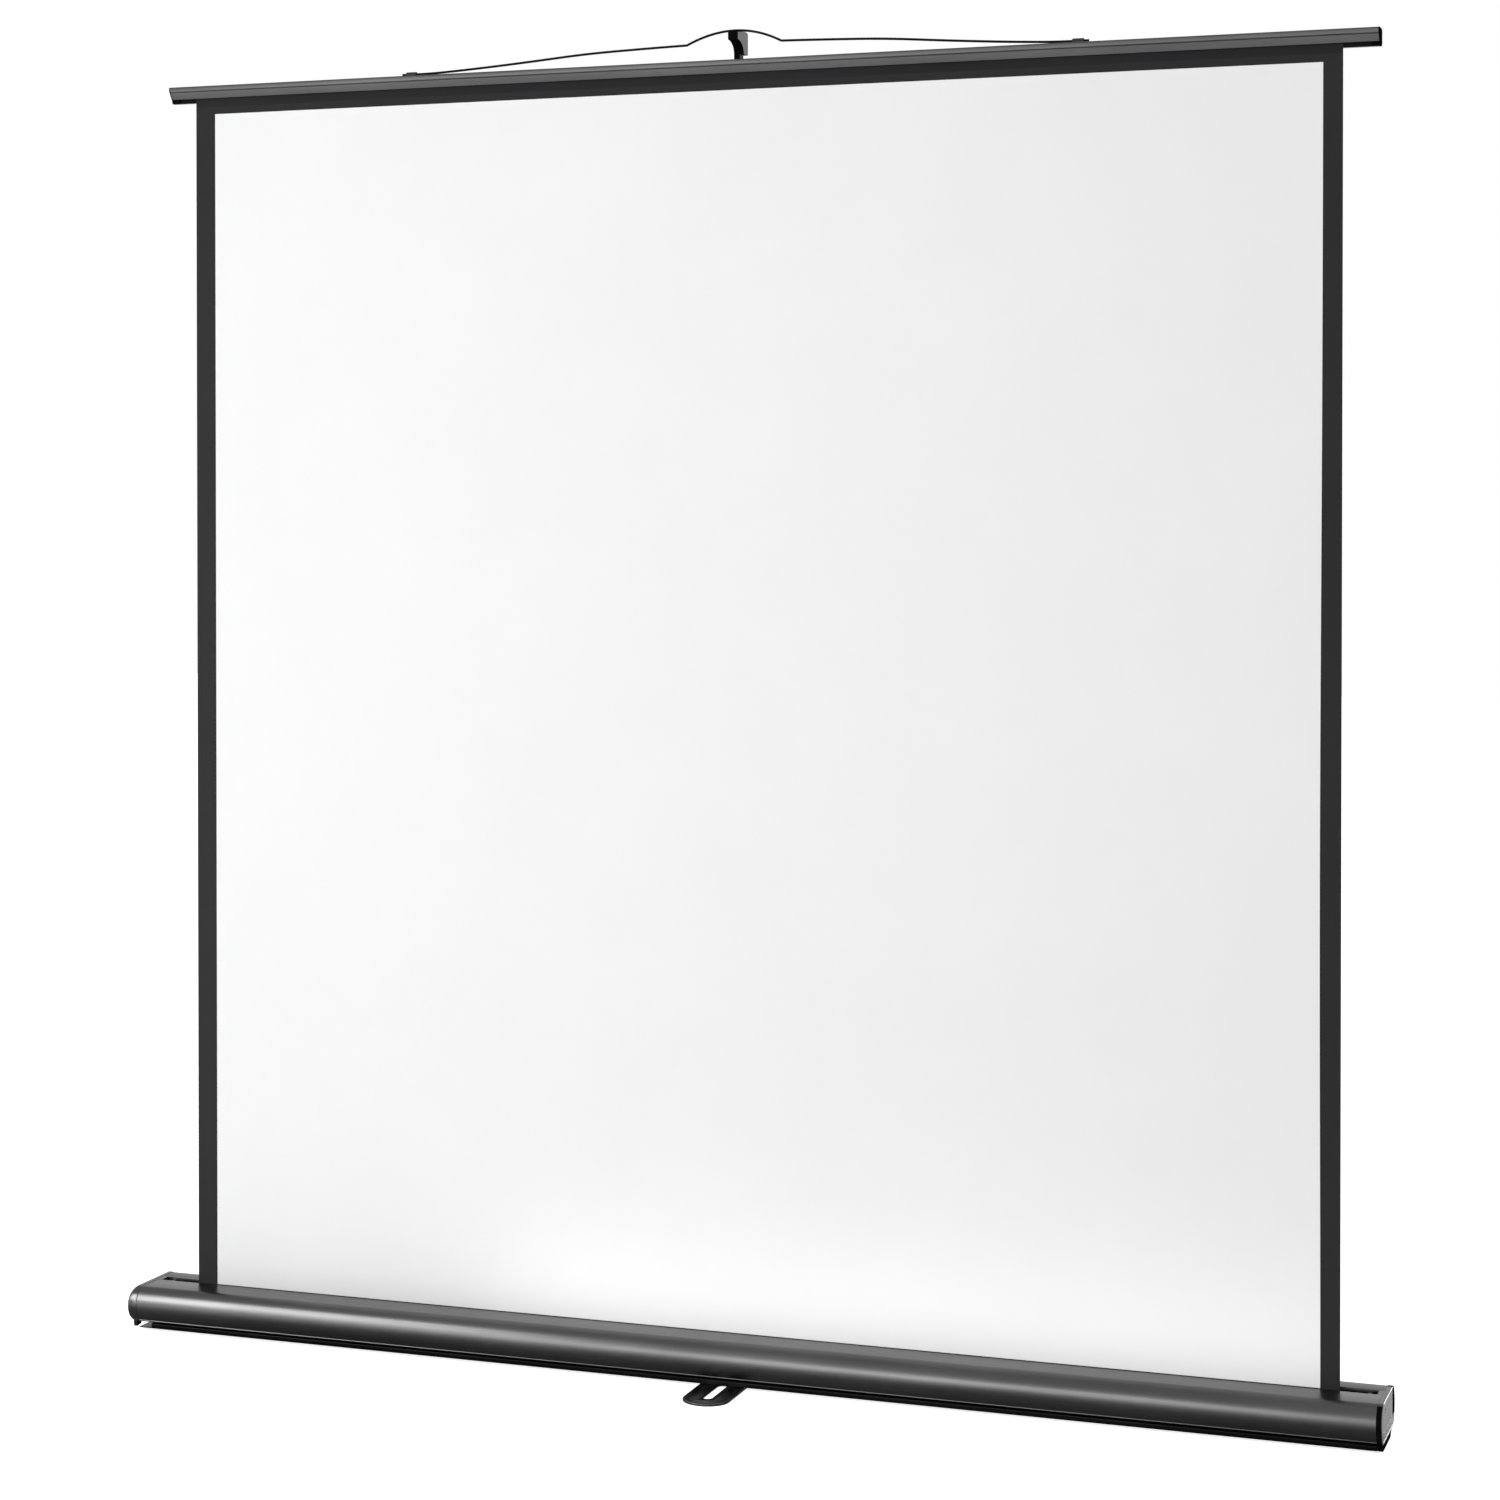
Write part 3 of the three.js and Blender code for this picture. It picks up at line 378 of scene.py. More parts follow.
# a turned piece from pairs of radius and place along its axis; one whose profile comes back
# to its start is a ring or a tube. wobble(angle, ring) scales the radius where it is fluted
def turned(pairs, axis="Z", centre=(0, 0, 0), sides=48, looped=False, wobble=None):
    rings = []
    for index, (radius, along) in enumerate(pairs):
        ring = []
        for side in range(sides):
            angle = 2 * math.pi * side / sides
            reach = radius * (wobble(angle, index) if wobble else 1)
            across, up = reach * math.cos(angle), reach * math.sin(angle)
            spot = {"X": (along, across, up), "Y": (across, along, up), "Z": (across, up, along)}[axis]
            ring.append(tuple(a + b for a, b in zip(spot, centre)))
        rings.append(ring)
    return loft(rings, capped=not looped, looped=looped)


def roundBar(radius, low, high, axis="Z", centre=(0, 0, 0), sides=48):
    return turned([(radius, low), (radius, high)], axis, centre, sides)


def ringAbout(spot, first, second, radius, sides):
    turns = [2 * math.pi * side / sides for side in range(sides)]
    return [spot + radius * (math.cos(turn) * first + math.sin(turn) * second) for turn in turns]


# a round wire along points that all lie in one plane with this normal
def wireAlong(points, radius, normal, sides=12):
    rings = []
    for index, spot in enumerate(points):
        before = points[max(index - 1, 0)]
        after = points[min(index + 1, len(points) - 1)]
        across = normal.cross((after - before).normalized())
        rings.append(ringAbout(spot, across, normal, radius, sides))
    return loft(rings)


def meshObject(name, meshData):
    verts, faces = meshData
    mesh = bpy.data.meshes.new(name)
    mesh.from_pydata(verts, [], faces)
    work = bmesh.new()
    work.from_mesh(mesh)
    bmesh.ops.remove_doubles(work, verts=work.verts, dist=1e-6)
    bmesh.ops.recalc_face_normals(work, faces=work.faces)
    work.to_mesh(mesh)
    work.free()
    holder = bpy.data.objects.new(name, mesh)
    scene.collection.objects.link(holder)
    return holder


# one closed mesh from a base and others added to it or cut from it
def carved(base, added=(), cut=()):
    holder = meshObject("carvedBase", base)
    tools = []
    for operation, meshes in (("UNION", added), ("DIFFERENCE", cut)):
        for meshData in meshes:
            tool = meshObject("carvingTool", meshData)
            tools.append(tool)
            modifier = holder.modifiers.new(operation, "BOOLEAN")
            modifier.operation = operation
            modifier.object = tool
            modifier.solver = "EXACT"
    result = bpy.data.meshes.new_from_object(holder.evaluated_get(bpy.context.evaluated_depsgraph_get()))
    verts = [tuple(vertex.co) for vertex in result.vertices]
    faces = [tuple(polygon.vertices) for polygon in result.polygons]
    for used in [holder, *tools]:
        bpy.data.objects.remove(used)
    return verts, faces


# the finished piece: smooth apart from its sharp edges, or with those edges rounded
def addPiece(name, meshData, body, material, node, rounding=0, sharp=32):
    piece = meshObject(name, meshData)
    piece.data.materials.append(material)
    piece.data.shade_smooth()
    if rounding:
        bevel = piece.modifiers.new("roundedEdges", "BEVEL")
        bevel.width = rounding
        bevel.segments = 2
        bevel.limit_method = "ANGLE"
        bevel.angle_limit = math.radians(sharp)
        bevel.harden_normals = True
        bevel.use_clamp_overlap = True
    else:
        piece.data.set_sharp_from_angle(angle=math.radians(sharp))
    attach(piece, body)
    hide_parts(node)
    return piece


# Case body, an extrusion with its slot in the flat top

case = {
    "flatFront": 38 * mm,
    "flatRear": 38 * mm,
    "underFront": 40 * mm,
    "underRear": 32 * mm,
    "wall": 1.8 * mm,
    "slotFront": 2 * mm,
    "slotRear": 16 * mm,
    "lip": 3.4 * mm,
    "lipRounding": 0.5 * mm,
    "beadRise": 3.2 * mm,  # a fine bead runs along the foot of the front, this far above the underside
    "beadRadius": 0.9 * mm,
    "arcSteps": 24,
}
shellLow, shellHigh = sizes("case_shell")
caseTop = shellHigh.z
caseMiddle = (shellLow.z + shellHigh.z) / 2


# counted from the rear end of the flat top round the back, the underside and the front
def caseOutline(inset):
    half = (shellHigh.z - shellLow.z) / 2 - inset
    rear = shellHigh.y - inset
    front = -shellLow.y - inset
    steps = case["arcSteps"]
    return [
        *arcPoints(case["flatRear"], caseMiddle, rear - case["flatRear"], half, 90, 0, steps),
        *arcPoints(case["underRear"], caseMiddle, rear - case["underRear"], half, 0, -90, steps)[1:],
        *arcPoints(-case["underFront"], caseMiddle, front - case["underFront"], half, 270, 180, steps),
        *arcPoints(-case["flatFront"], caseMiddle, front - case["flatFront"], half, 180, 90, steps)[1:],
    ]


# the outline with the bead set on it, in the lower front quarter
def beadedOutline():
    half = caseMiddle - shellLow.z
    depth = -shellLow.y - case["underFront"]
    centre = Vector((-case["underFront"], caseMiddle))
    sine = (case["beadRise"] - half) / half
    outward = Vector((-depth * math.sqrt(1 - sine * sine), half * sine))
    spot = centre + outward
    normal = Vector((outward.x, outward.y * (depth / half) ** 2)).normalized()
    along = Vector((normal.y, -normal.x))
    radius = case["beadRadius"]
    bump = []
    for degrees in range(-90, 91, 30):
        turn = math.radians(degrees)
        bump.append(tuple(spot + along * radius * math.sin(turn) + normal * radius * math.cos(turn)))
    plain = [point for point in caseOutline(0) if math.dist(point, spot) >= 1.5 * radius]
    place = next(index for index, (y, z) in enumerate(plain) if y < centre.x and z > spot.y)
    return [*plain[:place], *bump, *plain[place:]]


def buildCaseShell():
    wall, soft = case["wall"], case["lipRounding"]
    rear, front = case["slotRear"], -case["slotFront"]
    low = caseTop - case["lip"]
    ceiling = caseTop - wall
    outline = [
        *arcPoints(rear + soft, caseTop - soft, soft, soft, 180, 90, 4), *beadedOutline(),
        *arcPoints(front - soft, caseTop - soft, soft, soft, 90, 0, 4),
        *arcPoints(front - soft, low + soft, soft, soft, 0, -90, 4), (front - wall, low),
        (front - wall, ceiling), *reversed(caseOutline(wall)), (rear + wall, ceiling),
        (rear + wall, low), *arcPoints(rear + soft, low + soft, soft, soft, 270, 180, 4),
    ]
    addPiece(
        "case_body", alongX(outline, shellLow.x, shellHigh.x), "case",
        aluminium, "case_shell")


# Base rail under the case, with the foot's pin through it

rail = {
    "front": 39 * mm,
    "rear": 33 * mm,
    "corner": 2.2 * mm,
    "webHalf": 18 * mm,
    "webHeight": 2.2 * mm,
    "notch": 18 * mm,  # over this length at the left only a thin plate is left
    "plate": 1.2 * mm,
    "pinHole": 5.3 * mm,
    "nutPocket": 8.8 * mm,
    "nutDepth": 2.1 * mm,
    "rounding": 0.35 * mm,
}
railLow, railHigh = sizes("base_rail")
railTop = shellLow.z - rail["webHeight"]


def buildRail():
    low, high = railLow, railHigh
    front, rear, corner, web = -rail["front"], rail["rear"], rail["corner"], rail["webHalf"]
    outline = [
        (front, low.z), (rear, low.z),
        *arcPoints(rear - corner, railTop - corner, corner, corner, 0, 90, 6),
        (web, railTop), (web, high.z), (-web, high.z), (-web, railTop),
        *arcPoints(front + corner, railTop - corner, corner, corner, 90, 180, 6),
    ]
    notch = boxMesh(
        (low.x - past, front - past, low.z + rail["plate"]),
        (low.x + rail["notch"], rear + past, high.z + past))
    centre = (centreOf("foot_pin").x, 0, 0)
    hole = roundBar(rail["pinHole"], low.z - past, high.z + past, "Z", centre)
    pocket = roundBar(rail["nutPocket"], high.z - rail["nutDepth"], high.z + past, "Z", centre)
    addPiece(
        "foot_rail", carved(alongX(outline, low.x, high.x), cut=[notch, hole, pocket]),
        "case", blackAluminiumAndPaintedShade, "base_rail", rail["rounding"])


# End caps: rings of the case's own outline, a spigot in the case and a leg of its own shape each

cap = {
    "length": 7 * mm,
    "proud": 0.6 * mm,
    "crown": {"left": 6 * mm, "right": 0},  # how far the end face bulges at mid-height
    "crownPower": 3.2,
    "jointInset": 1.6 * mm,
    "jointStep": (0.7 * mm, 0.15 * mm),
    "jointGap": 0.4 * mm,
    "edge": 0.9 * mm,
    "rimWidth": 2.4 * mm,
    "dish": {"left": 0.8 * mm, "right": 0.35 * mm},  # the end face lies this deep inside its rim
    "dishWall": ((0.2 * mm, 0.3), (0.5 * mm, 1)),  # inwards from the rim, and down as a share
    "faceShares": (0.96, 0.85, 0.68, 0.48, 0.26, 0.08),
    "sunk": 1.0 * mm,
    "slotTab": 6 * mm,
    "tabDrop": 2 * mm,
    "rounding": 0.25 * mm,
    "screwInset": 28 * mm,
    "screwDrop": 9 * mm,
    "wellRadius": 4.0 * mm,
    "wellDepth": 2 * mm,
    "headHeight": 1.6 * mm,
    "legTop": 1.5 * mm,  # above the case's underside
    # front and rear ends of the right leg at the floor, at its bend and at its top
    "rightLeg": (-38 * mm, 22 * mm, 32 * mm, 31 * mm),
    # the left leg's foot as places in Y and heights from the case's underside, and its top's front end
    "leftLegFoot": ((-45 * mm, -6 * mm), (-35 * mm, -4.5 * mm)),
    "leftLegFront": -47 * mm,
    "leftLegReach": (-2 * mm, 3 * mm),  # along the case, from the end face
    # ribs across the right end face: rise above the underside, rear end and front end in mm
    "ribs": ((12.2, 34, -42), (7.4, 33, -40), (9.8, 12, -22)),
    "ribRoot": 2 * mm,
    "ribWidth": 0.9 * mm,
    "ribHeight": 0.7 * mm,
    # painted shade: behind rearShade and above shadeFoot the right cap is dull black, standing for the shade
    # at its rear
    "rearShade": 33 * mm,  # the right cap is dull behind this, above the foot of the shade
    "shadeFoot": 26 * mm,
    "faceReach": 3 * mm,  # what faces outwards within this of the end's plane is its face
    "topReach": 1 * mm,  # and what faces up within this of the case's top is its top
    "floorReach": 0.05 * mm,
}
capFace = shellHigh.x + cap["length"]
capScrewSpots = [(y, caseTop - cap["screwDrop"]) for y in (-cap["screwInset"], cap["screwInset"])]


# the joint with the case, the polished rim, then the end face as ever smaller rings
def capMesh(side):
    crown, dish = cap["crown"][side], cap["dish"][side]
    edge, rim, proud = cap["edge"], cap["rimWidth"], cap["proud"]
    middleY = (shellLow.y + shellHigh.y) / 2

    def crownAt(height):
        share = (height - caseMiddle) / ((shellHigh.z - shellLow.z) / 2 + proud)
        return crown * (1 - abs(share) ** cap["crownPower"])

    def jointRing(inset, forward):
        return [(shellHigh.x + forward, y, z) for y, z in caseOutline(inset - proud)]

    def faceRing(inset, drop, scale=1):
        ring = []
        for y, z in caseOutline(inset - proud):
            up = caseMiddle + (z - caseMiddle) * scale
            ring.append((capFace + crownAt(up) - drop, middleY + (y - middleY) * scale, up))
        return ring

    rings = [jointRing(cap["jointInset"], 0), jointRing(*cap["jointStep"])]
    for degrees in (0, 30, 60, 90):
        turn = math.radians(degrees)
        rings.append(jointRing(proud * (1 - math.sin(turn)), cap["jointGap"] + proud * (1 - math.cos(turn))))
    for degrees in (0, 22, 45, 67, 90):
        turn = math.radians(degrees)
        rings.append(faceRing(edge * (1 - math.cos(turn)), edge * (1 - math.sin(turn))))
    rings.append(faceRing(rim, 0))
    for inwards, share in cap["dishWall"]:
        rings.append(faceRing(rim + inwards, share * dish))
    for scale in cap["faceShares"]:
        rings.append(faceRing(rim + cap["dishWall"][-1][0], dish, scale))
    return loft(rings)


def mirroredX(meshData):
    verts, faces = meshData
    return [(-x, y, z) for x, y, z in verts], faces


# cuts the faces along a plane and leaves the shape as it is
def splitMesh(mesh, point, normal):
    work = bmesh.new()
    work.from_mesh(mesh)
    parts = work.verts[:] + work.edges[:] + work.faces[:]
    bmesh.ops.bisect_plane(work, geom=parts, plane_co=point, plane_no=normal)
    work.to_mesh(mesh)
    work.free()


# the face inside the rim is spark-textured (1); the left cap is polished round it (2), and the right one is
# dull (0) with a polished top, edge and ribs; the right cap's dull rear above the shade's foot is painted
# shade
def textureFace(piece, side):
    sign = 1 if side == "right" else -1
    rim = cap["rimWidth"]
    dishFloor = capFace - cap["dish"]["right"]
    piece.data.materials.append(grainedAbs)
    piece.data.materials.append(glossAbs)
    if side == "right":
        splitMesh(piece.data, (0, cap["rearShade"], 0), (0, 1, 0))
        splitMesh(piece.data, (0, 0, cap["shadeFoot"]), (0, 0, 1))
    for polygon in piece.data.polygons:
        x, y, z = polygon.center
        inRim = shellLow.y + rim < y < shellHigh.y - rim and shellLow.z + rim < z < caseTop - rim
        face = polygon.normal.x * sign > 0.6 and sign * x > capFace - cap["faceReach"] and inRim
        if side == "left":
            polygon.material_index = 1 if face else 2
        # painted shade: the right cap's rear turns dull black
        elif y > cap["rearShade"] and z > cap["shadeFoot"]:
            polygon.material_index = 0
        elif polygon.normal.z > 0.8 and z > caseTop - cap["topReach"]:
            polygon.material_index = 2
        elif face and x < dishFloor + cap["floorReach"]:
            polygon.material_index = 1
        elif x > capFace - cap["edge"]:
            polygon.material_index = 2


def buildEndCaps():
    start = sizes("roller_bracket_right")[1].x + fit
    end = shellHigh.x + cap["sunk"]
    front, rear = -case["slotFront"], case["slotRear"]
    lipCut = boxMesh(
        (start - fit, front - case["wall"] - fit, caseTop - case["lip"] - fit),
        (shellHigh.x, rear + case["wall"] + fit, caseTop + past))
    spigot = carved(alongX(caseOutline(case["wall"] + fit), start, end), cut=[lipCut])
    tab = boxMesh(
        (shellHigh.x - cap["slotTab"], front + fit, caseTop - case["lip"] - cap["tabDrop"]),
        (end, rear - fit, caseTop))
    wells = [
        roundBar(cap["wellRadius"], capFace - cap["wellDepth"], capFace + 2 * past, "X", (0, y, z))
        for y, z in capScrewSpots]
    legTop = shellLow.z + cap["legTop"]
    legFront, legRear, bend, top = cap["rightLeg"]
    rightLeg = alongX([
        (legFront, railLow.z), (legRear, railLow.z), (bend, railTop), (top, legTop), (legFront, legTop),
    ], shellHigh.x, capFace - cap["sunk"])
    leftFoot = [(y, shellLow.z + z) for y, z in cap["leftLegFoot"]]
    near, far = cap["leftLegReach"]
    leftLeg = alongX(
        [*leftFoot, (leftFoot[1][0], legTop), (cap["leftLegFront"], legTop)], capFace + near, capFace + far)
    ribs = []
    dishFloor = capFace - cap["dish"]["right"]
    for rise, ribRear, ribFront in cap["ribs"]:
        low = shellLow.z + rise * mm
        ribs.append(boxMesh(
            (dishFloor - cap["ribRoot"], ribFront * mm, low),
            (dishFloor + cap["ribHeight"], ribRear * mm, low + cap["ribWidth"])))
    right = carved(capMesh("right"), added=[spigot, tab, rightLeg, *ribs], cut=wells)
    left = mirroredX(carved(capMesh("left"), added=[spigot, tab, leftLeg], cut=wells))
    for side, mesh in (("right", right), ("left", left)):
        piece = addPiece(
            f"case_cap_{side}", mesh, "case", dullAbsAndPaintedShade, f"end_cap_{side}",
            cap["rounding"], 38)
        textureFace(piece, side)


# Small pieces of the case: screws, felt and pads

screw = {
    "radius": 1.8 * mm,
    "headRadius": 3.4 * mm,
    "headShares": ((1, 0), (1, 0.45), (0.86, 0.85), (0.55, 1)),  # of the head's radius and height
    "crossShares": (0.62, 0.13),  # half length and half width, of the head's radius
    "crossDepthShares": (0.25, 1.5),  # from its floor up past the top, of the head's height
}


# a pan head with a cross recess; the cross is cut as two thin bars
def crossHeadScrew(headHeight, length, axis, centre, outward=1):
    tall = outward * headHeight
    pairs = [(screw["radius"], -outward * length), (screw["radius"], 0)]
    pairs += [(screw["headRadius"] * across, tall * up) for across, up in screw["headShares"]]
    low, high = sorted(tall * share for share in screw["crossDepthShares"])
    reach, thin = (screw["headRadius"] * share for share in screw["crossShares"])
    bars = []
    for a, b in ((reach, thin), (thin, reach)):
        if axis == "X":
            bars.append(boxMesh((low, -a, -b), (high, a, b)))
        else:
            bars.append(boxMesh((-a, -b, low), (a, b, high)))
    verts, faces = carved(turned(pairs, axis, sides=32), cut=bars)
    return [tuple(p + q for p, q in zip(spot, centre)) for spot in verts], faces


def buildCapScrews():
    tall = cap["headHeight"]
    for label, side in (("left", -1), ("right", 1)):
        for index in (1, 2):
            node = f"cap_screw_{label}_{index}"
            low, high = sizes(node)
            centre = centreOf(node)
            made = crossHeadScrew(
                tall - fit, high.x - low.x - tall, "X", (side * (capFace - tall), centre.y, centre.z), side)
            addPiece(f"end_screw_{label}_{index}", made, "case", zinc, node)


smallParts = {
    "feltChamfer": 0.3 * mm,
    "padHollow": ((0.45, 0.4 * mm), (0.5, 0)),  # share of the radius, and height
    "padFoot": ((-0.9, 0), (-0.3, 0.3), (0, 0.9)),  # offsets in mm from the radius and the floor
    "padTop": ((0, -0.2), (-0.2, 0)),
}


def buildFeltStrip():
    low, high = sizes("slot_wiper")
    soft = smallParts["feltChamfer"]
    outline = [
        (low.y, low.z), (high.y, low.z), (high.y, high.z - soft), (high.y - soft, high.z),
        (low.y + soft, high.z), (low.y, high.z - soft),
    ]
    addPiece("felt_strip", alongX(outline, low.x, high.x), "case", felt, "slot_wiper")


def buildPads():
    for label in ("left_front", "left_rear", "right_front", "right_rear"):
        node = f"rubber_pad_{label}"
        low, high = sizes(node)
        radius = (high.x - low.x) / 2
        pairs = [(radius * share, height) for share, height in smallParts["padHollow"]]
        pairs += offsetPairs(radius, 0, smallParts["padFoot"])
        pairs += offsetPairs(radius, high.z - low.z, smallParts["padTop"])
        pad = turned(pairs, "Z", axisThrough(node), 40)
        addPiece(f"pad_{label}", pad, "case", rubber, node)


buildCaseShell()
buildRail()
buildEndCaps()
buildCapScrews()
buildFeltStrip()
buildPads()
print("case built")

# Roller with the turns of cloth left on it, and its spring

roller = {
    "tubeRadius": 12.5 * mm,
    "tubeWall": 1.0 * mm,
    "tubeEdge": 0.2 * mm,
    "clothPitch": 0.5 * mm,
    "clothThickness": 0.4 * mm,
    "turns": 2.9,
    "spiralSteps": 40,
    "springMean": 7.5 * mm,
    "springWire": 0.9 * mm,
    "springTurns": 16,
    "springSteps": 20,
}


def buildWoundCloth():
    low, high = sizes("wound_fabric")
    centre = centreOf("wound_fabric")
    steps = roller["spiralSteps"]
    outside, inside = [], []
    for step in range(int(roller["turns"] * steps) + 1):
        angle = math.pi - 2 * math.pi * step / steps
        radius = (high.z - low.z) / 2 - roller["clothPitch"] * step / steps
        for reach, points in ((radius, outside), (radius - roller["clothThickness"], inside)):
            points.append((centre.y + reach * math.cos(angle), centre.z + reach * math.sin(angle)))
    wound = alongX(outside + inside[::-1], low.x, high.x)
    return addPiece("cloth_on_roller", wound, "roller", backCloth, "wound_fabric")


def buildSpring():
    low, high = sizes("torsion_spring")
    axis = axisThrough("roller_tube", "X")
    ahead = Vector((1, 0, 0))
    wire = roller["springWire"]
    count = roller["springTurns"] * roller["springSteps"]
    length = high.x - low.x - 2 * wire
    rings = []
    for step in range(count + 1):
        angle = 2 * math.pi * step / roller["springSteps"]
        outward = Vector((0, math.cos(angle), math.sin(angle)))
        spot = axis + ahead * (low.x + wire + length * step / count) + roller["springMean"] * outward
        rings.append(ringAbout(spot, outward, ahead, wire, 8))
    addPiece("spring_coil", loft(rings), "roller", zinc, "torsion_spring")


# rebuilt round and with its edges broken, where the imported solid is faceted
def buildRollerTube():
    low, high = sizes("roller_tube")
    outer = roller["tubeRadius"]
    pairs = barPairs(outer, low.x, high.x, roller["tubeEdge"], outer - roller["tubeWall"])
    tube = turned(pairs, "X", axisThrough("roller_tube", "X"), 64, looped=True)
    addPiece("winding_tube", tube, "roller", galvanised, "roller_tube")


woundCloth = buildWoundCloth()
buildSpring()
buildRollerTube()
print("roller built")

# Swivel foot, a pressed steel bar with a slot at either end, and its pin

foot = {
    "half": 29.5 * mm,
    "reach": 120 * mm,
    "rounding": 26 * mm,
    "slotHalf": 6 * mm,
    "slotStart": 30 * mm,
    "slotEnd": 96 * mm,
    "slotFoot": ((0.7, -0.1), (0, 0.7)),  # growth and height in mm, where the slot's edge is rolled
    "slotTop": ((0, -0.8), (0.25, -0.3), (0.9, 0.1)),
    "pinHole": 5.3 * mm,
    "sink": 9.3 * mm,
    "sinkDepth": 1.8 * mm,
    "beadInset": 8 * mm,  # a shallow pressed bead follows the edge
    "beadDepth": 0.5 * mm,
    "beadShares": ((-2, 0), (-1, 0.8), (0, 1), (1, 0.8), (2, 0)),  # across in mm, down as a share
    "edge": 0.9 * mm,
    "underEdge": 0.15 * mm,
    "pinHead": ((-0.4, 0), (0, 0.4), (0, 0.9), (-0.3, 1.2)),
    "pinShank": 5 * mm,
    "pinTip": ((0, -0.5), (-0.5, 0)),
}


def footOutline(inset):
    straight = foot["reach"] - foot["rounding"]
    across, along = foot["half"] - inset, foot["rounding"] - inset
    return [
        *arcPoints(0, straight, across, along, 0, 180, 20),
        *arcPoints(0, -straight, across, along, 180, 360, 20)]


def slotOutline(end, grow):
    half = foot["slotHalf"]
    start = 0 if end > 0 else 180
    far, near = end * (foot["slotEnd"] - half), end * (foot["slotStart"] + half)
    return [
        *arcPoints(0, far, half + grow, half + grow, start, start + 180),
        *arcPoints(0, near, half + grow, half + grow, start + 180, start + 360)]


def buildFoot():
    low, high = sizes("foot_plate")
    centreX = (low.x + high.x) / 2
    edge = foot["edge"]

    def ringAt(outline, z):
        return [(centreX + x, y, z) for x, y in outline]

    levels = [
        (edge * 0.6, low.z), (foot["underEdge"], low.z + edge * 0.4), (0, low.z + edge), (0, high.z - edge),
        (edge * 0.3, high.z - edge * 0.3), (edge, high.z)]
    for across, share in foot["beadShares"]:
        levels.append((foot["beadInset"] + across * mm, high.z - foot["beadDepth"] * share))
    rings = [ringAt(footOutline(inset), z) for inset, z in levels]
    slotLevels = [*offsetPairs(0, low.z, foot["slotFoot"]), *offsetPairs(0, high.z, foot["slotTop"])]
    cuts = [loft([ringAt(slotOutline(end, grow), z) for grow, z in slotLevels]) for end in (1, -1)]
    cuts.append(roundBar(foot["pinHole"], low.z - past, high.z + past, "Z", (centreX, 0, 0)))
    cuts.append(roundBar(foot["sink"], low.z - past, low.z + foot["sinkDepth"], "Z", (centreX, 0, 0)))
    addPiece(
        "swivel_foot", carved(loft(rings), cut=cuts), "foot", steelBlack, "foot_plate")


def buildFootPin():
    low, high = sizes("foot_pin")
    head = (high.x - low.x) / 2
    shank = foot["pinShank"]
    pairs = offsetPairs(head, low.z, foot["pinHead"])
    pairs += [(shank, pairs[-1][1]), *offsetPairs(shank, high.z, foot["pinTip"])]
    pin = turned(pairs, "Z", axisThrough("foot_pin"))
    addPiece("swivel_pin", pin, "case", zinc, "foot_pin")


buildFoot()
buildFootPin()
print("foot built")

# Mast: its socket on the case, three tubes, their twist collars and the rod

mast = {
    "radii": (10 * mm, 8.6 * mm, 7.2 * mm),
    "wall": 1 * mm,
    "tubeEdge": 0.3 * mm,
    "rodRadius": 3.8 * mm,
    "rodGuide": ((-0.4, 0), (0, 0.4), (0, 23), (-0.8, 24)),  # offsets in mm, as in the tables below
    "rodTip": ((0, -0.4), (-0.4, 0)),
    "gripWall": 3.3 * mm,
    "collarStep": 5.7 * mm,
    # outwards and along in mm from the grip's radius and the foot or top, and how far it is fluted
    "collarFoot": ((-0.6, 0, 0), (-0.1, 0.4, 0), (0, 1.2, 0), (-0.2, 2.0, 0), (0.5, 3.0, 1)),
    "collarSwell": 0.7 * mm,
    "swellShare": 0.35,
    "collarTop": (
        (0.5, -8, 1), (-0.1, -6.8, 0), (-0.5, -4.0, 0), (-1.4, -1.2, 0), (-2.1, -0.3, 0), (-2.6, 0, 0)),
    "flutes": 20,
    "fluteDepthShare": 0.045,
    "knobShank": 2.5 * mm,
    "knobLength": 11 * mm,
    "knobFoot": ((-2.5, 0, 0), (-1.0, 0.5, 1), (-0.2, 1.6, 1)),
    "knobTop": ((-0.2, -2.6, 1), (-0.9, -1.1, 1), (-2.4, -0.2, 1), (-4.2, 0, 0.4), (-5.0, -0.5, 0)),
    "knobFlutes": 6,
    "knobDepthShare": 0.13,
}


def buildTubes():
    bodies = ("case", "mast_stage_2", "mast_stage_3")
    for index, (radius, body) in enumerate(zip(mast["radii"], bodies)):
        node = f"mast_tube_{index + 1}"
        low, high = sizes(node)
        pairs = barPairs(radius, low.z, high.z, mast["tubeEdge"], radius - mast["wall"])
        tube = turned(pairs, "Z", axisThrough(node), 64, looped=True)
        addPiece(f"mast_stage_tube_{index + 1}", tube, body, steelBlack, node)


def gripRings(radius, place, table):
    return [(radius + out * mm, place + along * mm, share) for out, along, share in table]


# a fluted grip with a plain lip below and a tapered top
def buildCollars():
    insides = (*mast["radii"][1:], mast["rodRadius"])
    for index, body in enumerate(("lower_collar", "middle_collar", "upper_collar")):
        node = f"mast_collar_{index + 1}"
        low, high = sizes(node)
        outer = mast["radii"][index] + mast["gripWall"]
        inner = mast["radii"][index] + fit
        through = insides[index] + fit
        step = high.z - mast["collarStep"]
        swell = low.z + (high.z - low.z) * mast["swellShare"]
        fluted = [
            (inner, low.z, 0), *gripRings(outer, low.z, mast["collarFoot"]),
            (outer + mast["collarSwell"], swell, 1), *gripRings(outer, high.z, mast["collarTop"]),
            (through, high.z, 0), (through, step, 0), (inner, step, 0),
        ]

        def flute(angle, ring):
            depth = mast["fluteDepthShare"] * fluted[ring][2]
            return 1 - depth * (0.5 + 0.5 * math.cos(mast["flutes"] * angle)) ** 2

        grip = turned([ring[:2] for ring in fluted], "Z", axisThrough(node), 160, looped=True, wobble=flute)
        addPiece(f"twist_collar_{index + 1}", grip, body, mattAbs, node, sharp=28)


